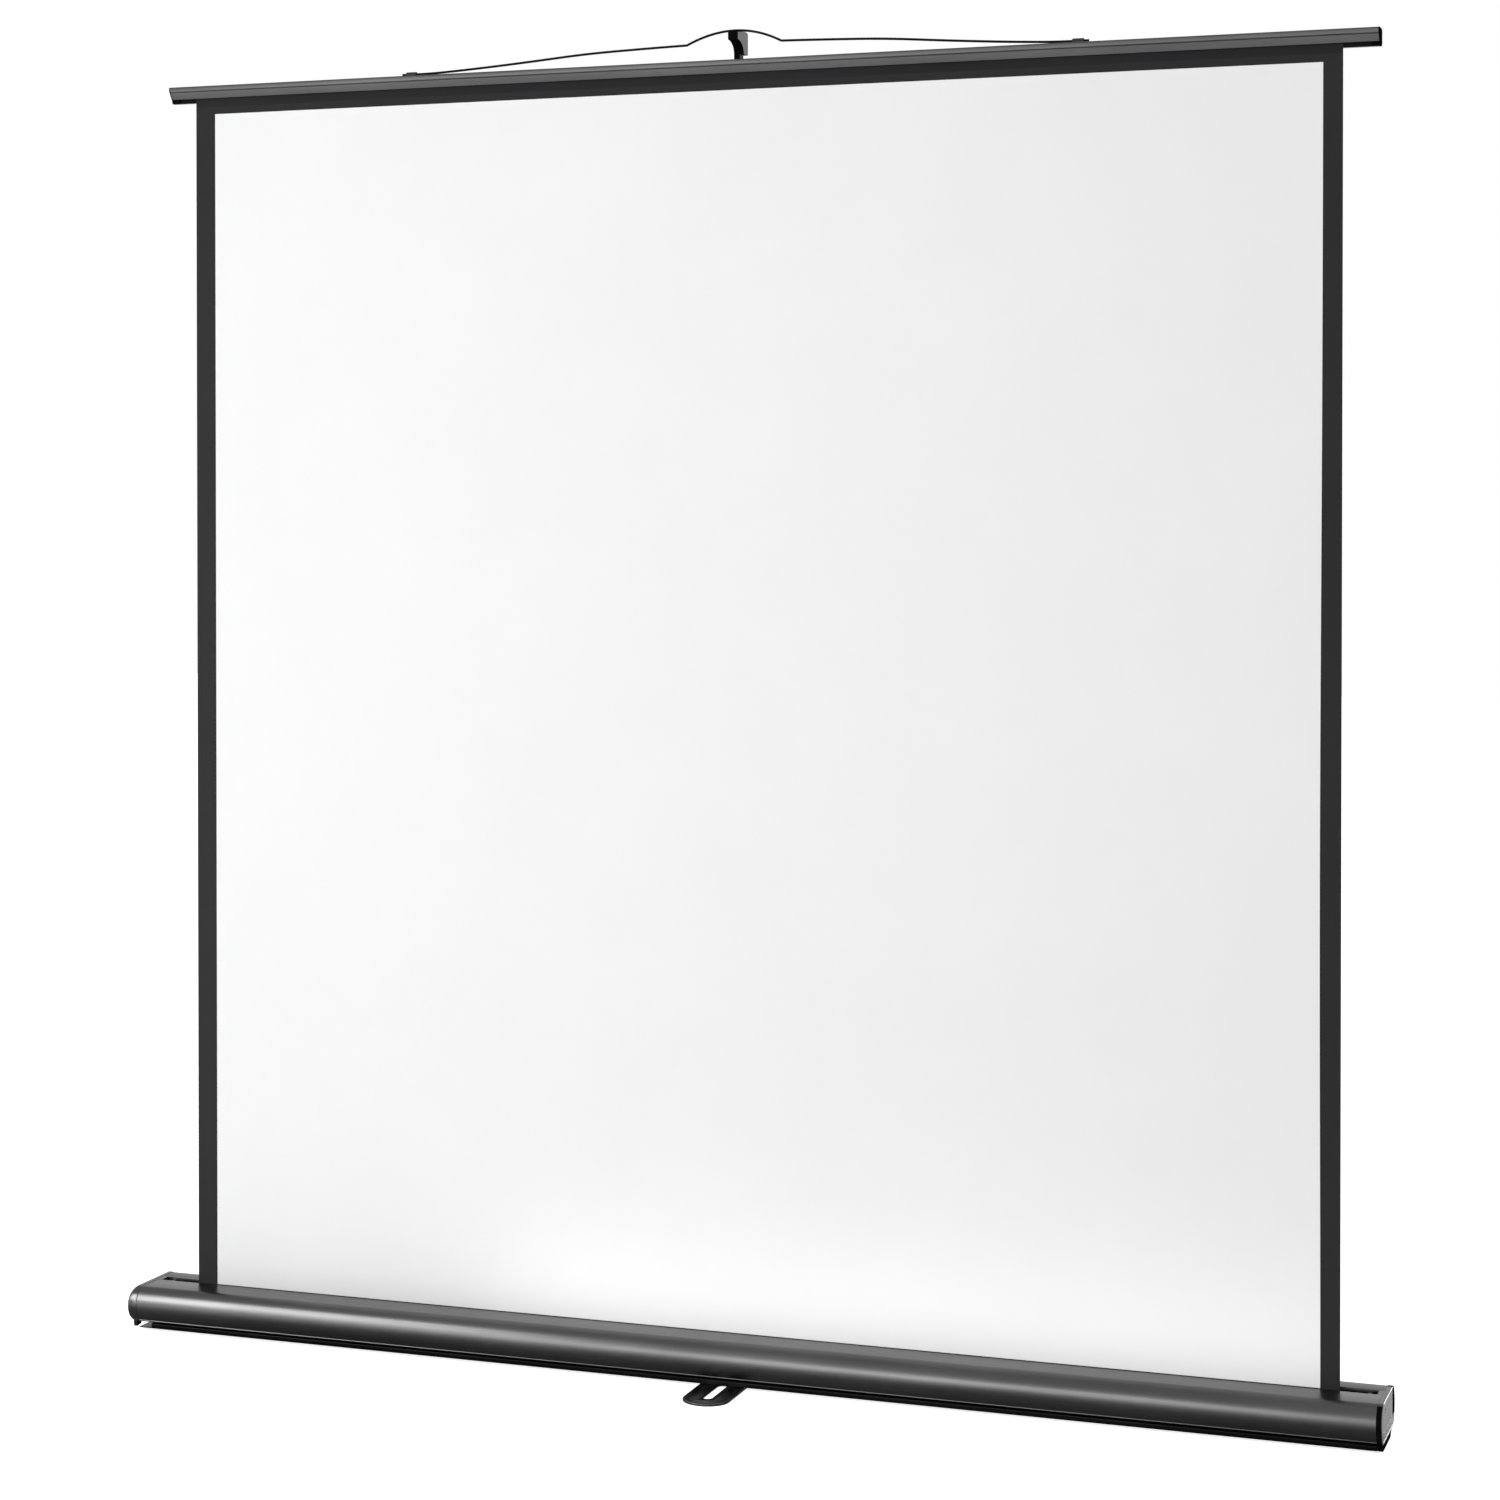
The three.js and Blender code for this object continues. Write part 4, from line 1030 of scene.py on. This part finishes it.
def buildRod():
    low, high = sizes("mast_rod")
    radius = mast["rodRadius"]
    pairs = offsetPairs((high.x - low.x) / 2, low.z, mast["rodGuide"])
    pairs += [(radius, pairs[-1][1]), *offsetPairs(radius, high.z, mast["rodTip"])]
    rod = turned(pairs, "Z", axisThrough("mast_rod"), 40)
    addPiece("mast_inner_rod", rod, "mast_top", steelBlack, "mast_rod")


socket = {
    "wall": 2 * mm,
    "foot": ((1.2, 0), (1.2, 3), (0.4, 4.2), (0, 7)),
    "mouth": ((0, -5), (-0.6, 0)),
    "wellFloor": 3.7 * mm,
    "flangeHeight": 3 * mm,
    "flangeRounding": 6 * mm,
    "gusset": 14 * mm,
    "gussetHalf": 1.1 * mm,
    "gussetHeight": 22 * mm,
    "root": 0.5 * mm,  # the gussets start this deep in the well's wall and the flange
    "knobHole": 2.8 * mm,
    "screwHole": 2.1 * mm,
    "screwHoleTop": 9 * mm,
    "rounding": 0.35 * mm,
}


# a round well on a flange with two stiffening webs, moulded in one
def buildSocket():
    low, high = sizes("mast_socket")
    centre = axisThrough("mast_tube_1")
    bore = mast["radii"][0] + fit
    outer = bore + socket["wall"]
    seat = low.z + socket["flangeHeight"]
    root = socket["root"]
    body = turned([
        *offsetPairs(outer, low.z, socket["foot"]), *offsetPairs(outer, high.z, socket["mouth"]),
        (bore, high.z)], "Z", centre, 64)
    corner = socket["flangeRounding"]
    right, left, back, front = high.x - corner, low.x + corner, high.y - corner, low.y + corner
    flange = []
    for x, y, start in ((right, back, 0), (left, back, 90), (left, front, 180), (right, front, 270)):
        flange += arcPoints(x, y, corner, corner, start, start + 90, 8)
    added = [loft([[(x, y, z) for x, y in flange] for z in (low.z, seat)])]
    floor = seat - root
    for side in (-1, 1):
        near, far = centre.x + side * (outer - root), centre.x + side * (outer + socket["gusset"])
        added.append(loft([
            [(near, y, floor), (far, y, floor), (near, y, floor + socket["gussetHeight"])]
            for y in (centre.y - socket["gussetHalf"], centre.y + socket["gussetHalf"])]))
    knob = axisThrough("socket_knob", "Y")
    cut = [
        roundBar(bore, low.z + socket["wellFloor"], high.z + past, "Z", centre, 64),
        roundBar(socket["knobHole"], centre.y, high.y + past, "Y", knob, 24)]
    for index in (1, 2):
        spot = (centreOf(f"socket_screw_{index}").x, centre.y, 0)
        cut.append(roundBar(socket["screwHole"], low.z - past, low.z + socket["screwHoleTop"], "Z", spot, 24))
    addPiece(
        "mast_foot_socket", carved(body, added, cut), "case", mattAbs, "mast_socket",
        socket["rounding"], 40)
    for index in (1, 2):
        node = f"socket_screw_{index}"
        screwLow, screwHigh = sizes(node)
        spot = centreOf(node)
        made = crossHeadScrew(screwHigh.z - seat, seat - screwLow.z, "Z", (spot.x, spot.y, seat))
        addPiece(f"flange_screw_{index}", made, "case", zinc, node)


def buildKnob():
    low, high = sizes("socket_knob")
    grip = (high.x - low.x) / 2
    start = high.y - mast["knobLength"]
    fluted = [
        (mast["knobShank"], low.y, 0), (mast["knobShank"], start, 0),
        *gripRings(grip, start, mast["knobFoot"]), *gripRings(grip, high.y, mast["knobTop"]),
    ]

    def lobe(angle, ring):
        depth = mast["knobDepthShare"] * fluted[ring][2]
        return 1 - depth * (0.5 - 0.5 * math.cos(mast["knobFlutes"] * angle))

    knob = turned([ring[:2] for ring in fluted], "Y", axisThrough("socket_knob", "Y"), 96, wobble=lobe)
    addPiece("clamp_knob", knob, "socket_knob", mattAbs, "socket_knob")


buildTubes()
buildCollars()
buildRod()
buildSocket()
buildKnob()
print("mast built")

# Top slat, its end caps and the bar in the cloth's hem

slat = {
    "slotHalf": 1.2 * mm,
    "pocket": 3.9 * mm,
    "rearRounding": 4 * mm,
    "noseRounding": 1.8 * mm,
    "noseHeight": 6.4 * mm,  # the band along the top of the front that stands proud
    "noseLean": 0.6 * mm,
    "noseStep": 1.6 * mm,  # the face below it starts this far behind the front
    "noseTop": 3.2 * mm,  # below the slat's top, where the band has leaned back to the front
    "undercut": (1.3 * mm, 0.5 * mm),  # from the face's top and its edge up to the band
    "edge": 0.3 * mm,
    "break": 0.1 * mm,
    "lipReach": 3.4 * mm,  # front of the lip that the face runs down to, from the cloth
    "lipThickness": 2.2 * mm,
    "toeLength": 9 * mm,  # a toe of the cap closes this much of the gap under the lip
    "toeRounding": 1.6 * mm,
    "toeRoot": 0.8 * mm,
    "capMiddle": (1.5 * mm, 10.5 * mm),
    "capEdge": ((0.9, 0), (0.5, 0.2), (0.2, 0.6), (0.05, 1.3), (0, 2.4)),  # mm back and inwards
    "barEdge": 0.3 * mm,
}
slatLow, slatHigh = sizes("slat_profile")
hemRise = centreOf("hem_rod").z - slatLow.z
lipLow = hemRise - slat["pocket"] - slat["lipThickness"]


# counted from the front lip up over the top and down the back; heights are from the slat's
# bottom and places from the plane of the cloth
def slatOutline():
    front, rear = slatLow.y, slatHigh.y
    height = slatHigh.z - slatLow.z
    noseFoot = height - slat["noseHeight"]
    top, back = slat["noseRounding"], slat["rearRounding"]
    edge, broken, lip = slat["edge"], slat["break"], slat["lipReach"]
    step, lean = front + slat["noseStep"], front + slat["noseLean"]
    deep, shallow = slat["undercut"]
    return [
        (edge - lip, lipLow), (-lip, lipLow + edge), (step, noseFoot - deep),
        (step + edge, noseFoot - shallow), (lean + edge, noseFoot), (lean - broken, noseFoot + 4 * broken),
        (front + broken, height - slat["noseTop"]),
        *arcPoints(front + top, height - top, top, top, 180, 90, 8),
        *arcPoints(rear - back, height - back, back, back, 90, 0, 10),
        *arcPoints(rear - back, back, back, back, 0, -90, 8),
    ]


# a cap closes the slat's outline below the lip with a rounded toe
def slatCapMesh(side, start, end):
    toe = slat["toeRounding"]
    outline = [*slatOutline(), *arcPoints(toe - slat["slotHalf"], toe, toe, toe, 270, 180, 4)]
    middle = Vector(slat["capMiddle"])
    levels = [(start, 0)]
    levels += [(end - side * back * mm, inset * mm) for back, inset in slat["capEdge"]]
    rings = []
    for x, inset in levels:
        ring = []
        for spot in outline:
            y, z = Vector(spot) + (middle - Vector(spot)).normalized() * inset
            ring.append((x, y, slatLow.z + z))
        rings.append(ring)
    low, high = sorted((start - side * slat["toeLength"], start + side * slat["toeRoot"]))
    plug = boxMesh(
        (low, -slat["slotHalf"], slatLow.z + toe), (high, slat["slotHalf"] - fit, slatLow.z + lipLow - fit))
    return carved(loft(rings), added=[plug])


def buildSlat():
    half = slat["slotHalf"]
    turn = math.degrees(math.asin(half / slat["pocket"]))
    pocket = arcPoints(0, hemRise, slat["pocket"], slat["pocket"], -90 + turn, 270 - turn, 32)
    outline = [*slatOutline(), (half, 0), *pocket, (-half, lipLow)]
    placed = [(y, slatLow.z + z) for y, z in outline]
    profile = addPiece(
        "top_slat", alongX(placed, slatLow.x, slatHigh.x), "slat", aluminium,
        "slat_profile", sharp=20)
    # painted shade: the back wall below the lip, where it lies in the slat's own shade, takes the black
    # aluminium
    profile.data.materials.append(blackAluminiumAndPaintedShade)
    for polygon in profile.data.polygons:
        if polygon.center.z < slatLow.z + lipLow and polygon.normal.y < -0.5:
            polygon.material_index = 1  # the back wall below the lip lies in its own shade
    for label, side in (("left", -1), ("right", 1)):
        node = f"slat_cap_{label}"
        low, high = sizes(node)
        start, end = (slatHigh.x, high.x) if side > 0 else (slatLow.x, low.x)
        made = slatCapMesh(side, start, end)
        addPiece(f"slat_end_{label}", made, "slat", dullAbsAndPaintedShade, node, sharp=50)


def buildHemRod():
    low, high = sizes("hem_rod")
    pairs = barPairs((high.z - low.z) / 2, low.x, high.x, slat["barEdge"])
    rod = turned(pairs, "X", axisThrough("hem_rod", "X"), 24)
    addPiece("hem_bar", rod, "slat", zinc, "hem_rod")


buildSlat()
buildHemRod()

# Wire bail: straight arms that rise to two kinks, and a round hump between them

bail = {
    "radius": 1.5 * mm,
    "pivotHalf": 430 * mm,
    "endLength": 20 * mm,
    "kinkHalf": 62 * mm,
    "kinkHeight": 20.2 * mm,
    "apex": 36.8 * mm,
    "setback": 9 * mm,
    # a distance from the middle as a share of the pivot's, and a height as a share of the kink's
    "armShares": (
        (1, 0), (0.93, 0.03), (0.8, 0.19), (0.65, 0.43), (0.5, 0.7), (0.41, 0.82), (0.31, 0.9), (0.22, 0.96)),
    "armSteps": 6,
    "humpSteps": 28,
    "lugRounding": 2.6 * mm,
    "lugTaper": 0.4 * mm,
    "lugBore": 1.65 * mm,
    "lugEdge": 0.25 * mm,
}


# a smooth curve through points, after Catmull and Rom
def curveThrough(points, steps):
    padded = [points[0], *points, points[-1]]
    curve = []
    for index in range(1, len(padded) - 2):
        before, start, end, after = padded[index - 1:index + 3]
        for step in range(steps):
            t = step / steps
            curve.append(tuple(
                0.5 * (2 * b + (c - a) * t + (2 * a - 5 * b + 4 * c - d) * t * t
                       + (3 * b - a - 3 * c + d) * t ** 3)
                for a, b, c, d in zip(before, start, end, after)))
    curve.append(points[-1])
    return curve


def buildBail():
    kinkHalf, kinkHeight, apex = bail["kinkHalf"], bail["kinkHeight"], bail["apex"]
    arm = [(bail["pivotHalf"] * reach, kinkHeight * rise) for reach, rise in bail["armShares"]]
    arm = curveThrough([*arm, (kinkHalf, kinkHeight)], bail["armSteps"])
    hump = []
    for step in range(bail["humpSteps"] + 1):
        reach = 1 - 2 * step / bail["humpSteps"]
        hump.append((kinkHalf * reach, apex - (apex - kinkHeight) * reach * reach))
    end = (bail["pivotHalf"] + bail["endLength"], 0)
    line = [end, *arm[:-1], *hump, *[(-x, z) for x, z in reversed(arm[:-1])], (-end[0], 0)]
    lean = math.asin(bail["setback"] / apex)
    pivot = Vector(jointOf("bail_fold")["pos_m"])
    points = [
        pivot + Vector((x, z * math.sin(lean), z * math.cos(lean))) for x, z in line]
    wire = wireAlong(points, bail["radius"], Vector((0, math.cos(lean), -math.sin(lean))))
    addPiece("wire_bail", wire, "bail", wireBlack, "bail_wire", sharp=50)
    soft, taper = bail["lugRounding"], bail["lugTaper"]
    for label in ("left", "right"):
        node = f"bail_anchor_{label}"
        low, high = sizes(node)
        outline = [
            (low.y, low.z), (high.y, low.z), (high.y - taper, low.z + soft),
            *arcPoints((low.y + high.y) / 2, high.z - soft, soft, soft, 10, 170),
            (low.y + taper, low.z + soft),
        ]
        bore = roundBar(bail["lugBore"], low.x - past, high.x + past, "X", (0, pivot.y, pivot.z), 24)
        lug = carved(alongX(outline, low.x, high.x), cut=[bore])
        addPiece(f"bail_lug_{label}", lug, "slat", mattAbs, node, bail["lugEdge"], 40)


# Hook on top of the mast: a rounded nose under the wire, a curved throat and a block behind.
# Heights are from the slat's top

hook = {
    "front": 1.5 * mm,
    "foot": 10.5 * mm,
    "footChamfer": 1.5 * mm,
    "heel": 3 * mm,
    "stopChamfer": 0.8 * mm,
    "wireGap": 0.6 * mm,
    "axisRise": 2.3 * mm,  # the nose's top turns about the bail's pivot
    "noseRadius": 1.6 * mm,
    "noseDrop": 1.7 * mm,
    "noseSteps": 8,
    "chinRadius": 1.3 * mm,
    "headBottom": 26 * mm,
    "throat": 1.5 * mm,
    "throatSteps": 16,
    "boreDepth": 19 * mm,
    "tongue": 1.2 * mm,
    "tongueWidth": 7 * mm,
    "tongueDrop": 12.5 * mm,
    "rounding": 0.4 * mm,
}


def hookOutline(bodyFront, rear, top):
    front, low, chin = hook["front"], hook["foot"], hook["chinRadius"]
    heel, nose, chamfer = hook["heel"], hook["noseRadius"], hook["stopChamfer"]
    crown = bail["apex"] - bail["radius"] - hook["wireGap"]
    stop = bail["setback"] + bail["radius"] + fit

    def headTop(y):
        return hook["axisRise"] + math.sqrt(crown * crown - y * y)

    points = [(bodyFront, low), (rear - hook["footChamfer"], low), (rear, low + hook["footChamfer"])]
    points += arcPoints(rear - heel, top - heel, heel, heel, 0, 90, 6)
    points += [(stop + chamfer, top), (stop, top - chamfer)]
    for step in range(hook["noseSteps"] + 1):
        y = stop + (front + nose - stop) * step / hook["noseSteps"]
        points.append((y, headTop(y)))
    points += arcPoints(front + nose, headTop(front) - hook["noseDrop"], nose, nose, 120, 180, 4)
    points += arcPoints(front + chin, hook["headBottom"] + chin, chin, chin, 180, 260, 4)
    start = front + hook["throat"]
    for step in range(1, hook["throatSteps"]):
        turn = math.pi / 2 * step / hook["throatSteps"]
        points.append((
            start + (bodyFront - start) * math.sin(turn), low + (hook["headBottom"] - low) * math.cos(turn)))
    return points


def buildHook():
    low, high = sizes("mast_hook")
    rodAxis = axisThrough("mast_rod")
    slatTop = slatHigh.z
    bore = mast["rodRadius"] + fit
    rear = rodAxis.y - bore
    bodyFront = rear - hook["tongue"]
    placed = [(y, slatTop + z) for y, z in hookOutline(bodyFront, high.y, high.z - slatTop)]
    footZ = slatTop + hook["foot"]
    tongue = boxMesh(
        (low.x, bodyFront, footZ - hook["tongueDrop"]),
        (low.x + hook["tongueWidth"], rear, footZ + hook["tongue"]))
    hole = roundBar(bore, footZ - past, footZ + hook["boreDepth"], "Z", rodAxis, 32)
    whole = carved(alongX(placed, low.x, high.x), added=[tongue], cut=[hole])
    piece = addPiece(
        "bail_hook", whole, "mast_top", dullAbsAndPaintedShade, "mast_hook", hook["rounding"], 40)
    piece.data.materials.append(shinyAbs)
    for polygon in piece.data.polygons:
        if abs(polygon.normal.x) > 0.7:
            polygon.material_index = 1  # its two flanks are polished


buildBail()
buildHook()
print("slat, bail and hook built")

# Cloth: one sheet from the roller through the slot to the loop round the bar in the slat

cloth = {
    "thickness": 0.45 * mm,
    "leftBorder": 28 * mm,
    "rightBorder": 23 * mm,
    # painted shade: low down, the right border's black reaches further in and stands for the curled, shaded
    # edge of the cloth; the rest of the border is printed
    "rightBorderBow": 1.8 * mm,  # the printed right edge bows inwards by this much, low down
    "bowPower": 1.4,
    "topBorder": 15.5 * mm,
    "lowBorder": 0.5 * mm,  # of the black leader that shows above the case
    "hemStart": 6 * mm,  # below the slat
    "loopRadius": 2.9 * mm,
    "loopGap": 1.0 * mm,
    "columns": 40,
    "rows": 60,
}


# a strip of the cloth along a run of its middle line, places in Y and Z from the bottom up
def clothStrip(name, run, left, right, whiteEdge):
    half = cloth["thickness"] / 2
    inner = cloth["columns"]
    rings = []
    for index, (y, z) in enumerate(run):
        before = run[max(index - 1, 0)]
        after = run[min(index + 1, len(run) - 1)]
        along = Vector((after[0] - before[0], after[1] - before[1])).normalized()
        side = Vector((-along.y, along.x)) * half
        whiteLeft, whiteRight = left + cloth["leftBorder"], whiteEdge(z)
        spots = [left, (left + whiteLeft) / 2]
        spots += [whiteLeft + (whiteRight - whiteLeft) * n / inner for n in range(inner + 1)]
        spots += [(whiteRight + right) / 2, right]
        front = [(x, y + side.x, z + side.y) for x in spots]
        back = [(x, y - side.x, z - side.y) for x in reversed(spots)]
        rings.append(front + back)
    sheet = meshObject(name, loft(rings))
    sheet.data.shade_smooth()
    sheet.data.set_sharp_from_angle(angle=math.radians(50))
    for material in (whiteCloth, borderCloth, backCloth):
        sheet.data.materials.append(material)
    return sheet


def lengthOf(run):
    return sum(math.dist(a, b) for a, b in zip(run, run[1:]))


def buildCloth():
    nodeLow, nodeHigh = sizes("screen_fabric")
    bar = centreOf("hem_rod")
    bottom = centreOf("wound_fabric").z
    topOfWhite = slatLow.z - cloth["topBorder"]
    footOfWhite = caseTop + cloth["lowBorder"]
    left, right = nodeLow.x, nodeHigh.x
    radius = cloth["loopRadius"]

    def whiteEdge(z):
        share = min(max((z - bottom) / (topOfWhite - bottom), 0), 1)
        bow = math.sin(math.pi * (1 - share) ** cloth["bowPower"]) ** 2
        return right - cloth["rightBorder"] - cloth["rightBorderBow"] * bow

    run = [(0.0, bottom), (0.0, (bottom + footOfWhite) / 2)]
    for row in range(cloth["rows"] + 1):
        run.append((0.0, footOfWhite + (topOfWhite - footOfWhite) * row / cloth["rows"]))
    hemRun = [run[-1], (0.0, slatLow.z - cloth["hemStart"]), (0.0, bar.z - radius - cloth["loopGap"])]
    hemRun += arcPoints(0, bar.z, radius, radius, -80, 250, 24)

    # the border above the white and the loop round the bar go with the slat
    hem = clothStrip("cloth_hem", hemRun, left, right, whiteEdge)
    for polygon in hem.data.polygons:
        polygon.material_index = 1 if polygon.normal.y < -0.5 and polygon.center.z < slatLow.z else 2
    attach(hem, "slat")

    sheet = clothStrip("screen_cloth", run, left, right, whiteEdge)
    for polygon in sheet.data.polygons:
        x, y, z = polygon.center
        white = left + cloth["leftBorder"] < x < whiteEdge(z) and z > footOfWhite
        polygon.material_index = 2 if polygon.normal.y > -0.5 else 0 if white else 1
    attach(sheet, "case")
    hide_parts("screen_fabric")
    length = lengthOf(run)
    keep = 1 - jointOf("screen_travel")["range_m"][1] / (topOfWhite - bottom)
    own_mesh(sheet)
    print(
        "cloth:", round(length, 3), "m and a hem of", round(lengthOf(hemRun), 3), "m, keeps",
        round(keep, 4))


buildCloth()

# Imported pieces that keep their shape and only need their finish

carriedOver = {
    "roller_bracket_left": galvanised, "roller_bracket_right": galvanised,
    "bracket_bush_left": nylon, "bracket_bush_right": nylon,
    "roller_plug_left": nylon, "roller_plug_right": nylon, "spring_hub": nylon,
    "axle_pin": zinc, "spring_shaft": zinc, "foot_push_nut": zinc,
}
for node, material in carriedOver.items():
    frame["nodes"][node].data.materials.clear()
    frame["nodes"][node].data.materials.append(material)

# Floor, light and world

studio = {
    "floorHalf": 14.0,
    "floorColour": "F2F2F2",
    # painted shadow: the floor is darker to glossy rays close before and under the case, and the case's lower
    # front mirrors it
    "floorPaintedShade": "848484",  # what the case's lower front mirrors of the floor close before it
    "paintedShadeReach": (-0.3, -0.09),  # from the plain floor to the darkest, in front of the case
    "behindReach": (-0.05, 0.05),  # and from the darkest back to plain, under the case
    "floorGlowCamera": 0.8,
    "floorGlowGlossy": 0.3,
    "worldDiffuse": 0.67,
    "overhead": 0.62,
    "overheadReach": (0.1, 0.6),  # from the height of a ray that is still white to the dimmest
    # place, size, radiance and target of each: the washes light matt surfaces, the others show
    # in shiny ones
    "washes": {
        "washSoftbox": ((-1.5, -2.9, 1.2), (1.1, 2.3), 4.8, (-0.2, 0, 0.9)),
        "footWash": ((0.25, -0.13, 0.09), (1.1, 0.03), 1.9, (0.25, 0, 0.07)),
    },
    "shines": {
        "keySoftbox": ((-1.5, -3.0, 0.6), (1.1, 1.1), 3.0, (0, 0, 0.4)),
        "fillStrip": ((-0.3, -3.1, 0.4), (0.95, 0.9), 5.2, (0.3, 0, 0.4)),
        "hotStrip": ((-1.44, -1.32, 0.82), (0.66, 0.8), 9.8, (-0.7, 0, 0.1)),
        "rimStrip": ((1.45, 2.1, 0.35), (0.9, 0.7), 8.0, (0.8, 0, 0.05)),
    },
}


def addSoftbox(name, isWash, place, size, radiance, target):
    data = bpy.data.lights.new(name, "AREA")
    data.shape = "RECTANGLE"
    data.size, data.size_y = size
    data.energy = radiance * math.pi * size[0] * size[1]
    holder = bpy.data.objects.new(name, data)
    scene.collection.objects.link(holder)
    holder.location = place
    holder.rotation_euler = (Vector(target) - Vector(place)).to_track_quat("-Z", "Y").to_euler()
    holder.visible_camera = False
    holder.visible_diffuse = isWash
    holder.visible_glossy = not isWash


# white to the camera; a strip of it in front of the case is darker to glossy rays, a painted shadow that the
# case's lower front mirrors
def buildFloor():
    half = studio["floorHalf"]
    verts = [(-half, -half, 0), (half, -half, 0), (half, half, 0), (-half, half, 0)]
    mesh = bpy.data.meshes.new("studioFloor")
    mesh.from_pydata(verts, [], [(0, 1, 2, 3)])
    floor = bpy.data.objects.new("studioFloor", mesh)
    scene.collection.objects.link(floor)
    material, tree, shader = newMaterial(
        "whiteStudioFloor",
        {"Roughness": 0.9, "Specular IOR Level": 0.1, "Emission Color": (1, 1, 1, 1)})
    path = addNode(tree, "ShaderNodeLightPath")
    place = addNode(tree, "ShaderNodeTexCoord")
    split = addNode(tree, "ShaderNodeSeparateXYZ", links={"Vector": place.outputs["Object"]})
    far, near = studio["paintedShadeReach"]
    before = addNode(
        tree, "ShaderNodeMapRange", {"interpolation_type": "SMOOTHSTEP", "From Min": far, "From Max": near},
        {"Value": split.outputs["Y"]})
    start, end = studio["behindReach"]
    behind = addNode(
        tree, "ShaderNodeMapRange", {"From Min": start, "From Max": end, "To Min": 1.0, "To Max": 0.0},
        {"Value": split.outputs["Y"]})
    dark = addNode(
        tree, "ShaderNodeMath", {"operation": "MULTIPLY"},
        {0: before.outputs["Result"], 1: behind.outputs["Result"]})
    paintedShadeToGlossy = addNode(
        tree, "ShaderNodeMath", {"operation": "MULTIPLY"},
        {0: dark.outputs["Value"], 1: path.outputs["Is Glossy Ray"]})
    # the painted shadow goes into the floor's colour for glossy rays only
    wanderingSkin(
        tree, shader, (studio["floorColour"], studio["floorPaintedShade"]), paintedShadeToGlossy.outputs["Value"],
        span=(0, 1))
    seen = addNode(
        tree, "ShaderNodeMath", {"operation": "MULTIPLY", 1: studio["floorGlowCamera"]},
        {0: path.outputs["Is Camera Ray"]})
    plain = addNode(
        tree, "ShaderNodeMath", {"operation": "SUBTRACT"},
        {0: path.outputs["Is Glossy Ray"], 1: paintedShadeToGlossy.outputs["Value"]})
    addNode(
        tree, "ShaderNodeMath", {"operation": "MULTIPLY_ADD", 1: studio["floorGlowGlossy"]},
        {0: plain.outputs["Value"], 2: seen.outputs["Value"]},
        {"Value": shader.inputs["Emission Strength"]})
    mesh.materials.append(material)


# white all round to the camera; to glossy rays white near the horizon and dim overhead; an
# even plain light for everything else
def buildWorld():
    world = bpy.data.worlds.new("studioWorld")
    scene.world = world
    world.use_nodes = True
    tree = world.node_tree
    background = tree.nodes["Background"]
    background.inputs["Color"].default_value = (1, 1, 1, 1)
    path = addNode(tree, "ShaderNodeLightPath")
    place = addNode(tree, "ShaderNodeTexCoord")
    split = addNode(tree, "ShaderNodeSeparateXYZ", links={"Vector": place.outputs["Generated"]})
    low, high = studio["overheadReach"]
    mirrored = addNode(
        tree, "ShaderNodeMapRange",
        {"interpolation_type": "SMOOTHSTEP", "From Min": low, "From Max": high, "To Min": 1.0,
         "To Max": studio["overhead"]},
        {"Value": split.outputs["Z"]})
    plain = addNode(
        tree, "ShaderNodeMix", {2: studio["worldDiffuse"]},
        {0: path.outputs["Is Glossy Ray"], 3: mirrored.outputs["Result"]})
    addNode(
        tree, "ShaderNodeMix", {3: 1.0}, {0: path.outputs["Is Camera Ray"], 2: plain.outputs[0]},
        {0: background.inputs["Strength"]})


for group in ("washes", "shines"):
    for name, box in studio[group].items():
        addSoftbox(name, group == "washes", *box)
buildFloor()
buildWorld()
scene.view_settings.view_transform = "Standard"
print("studio lit")
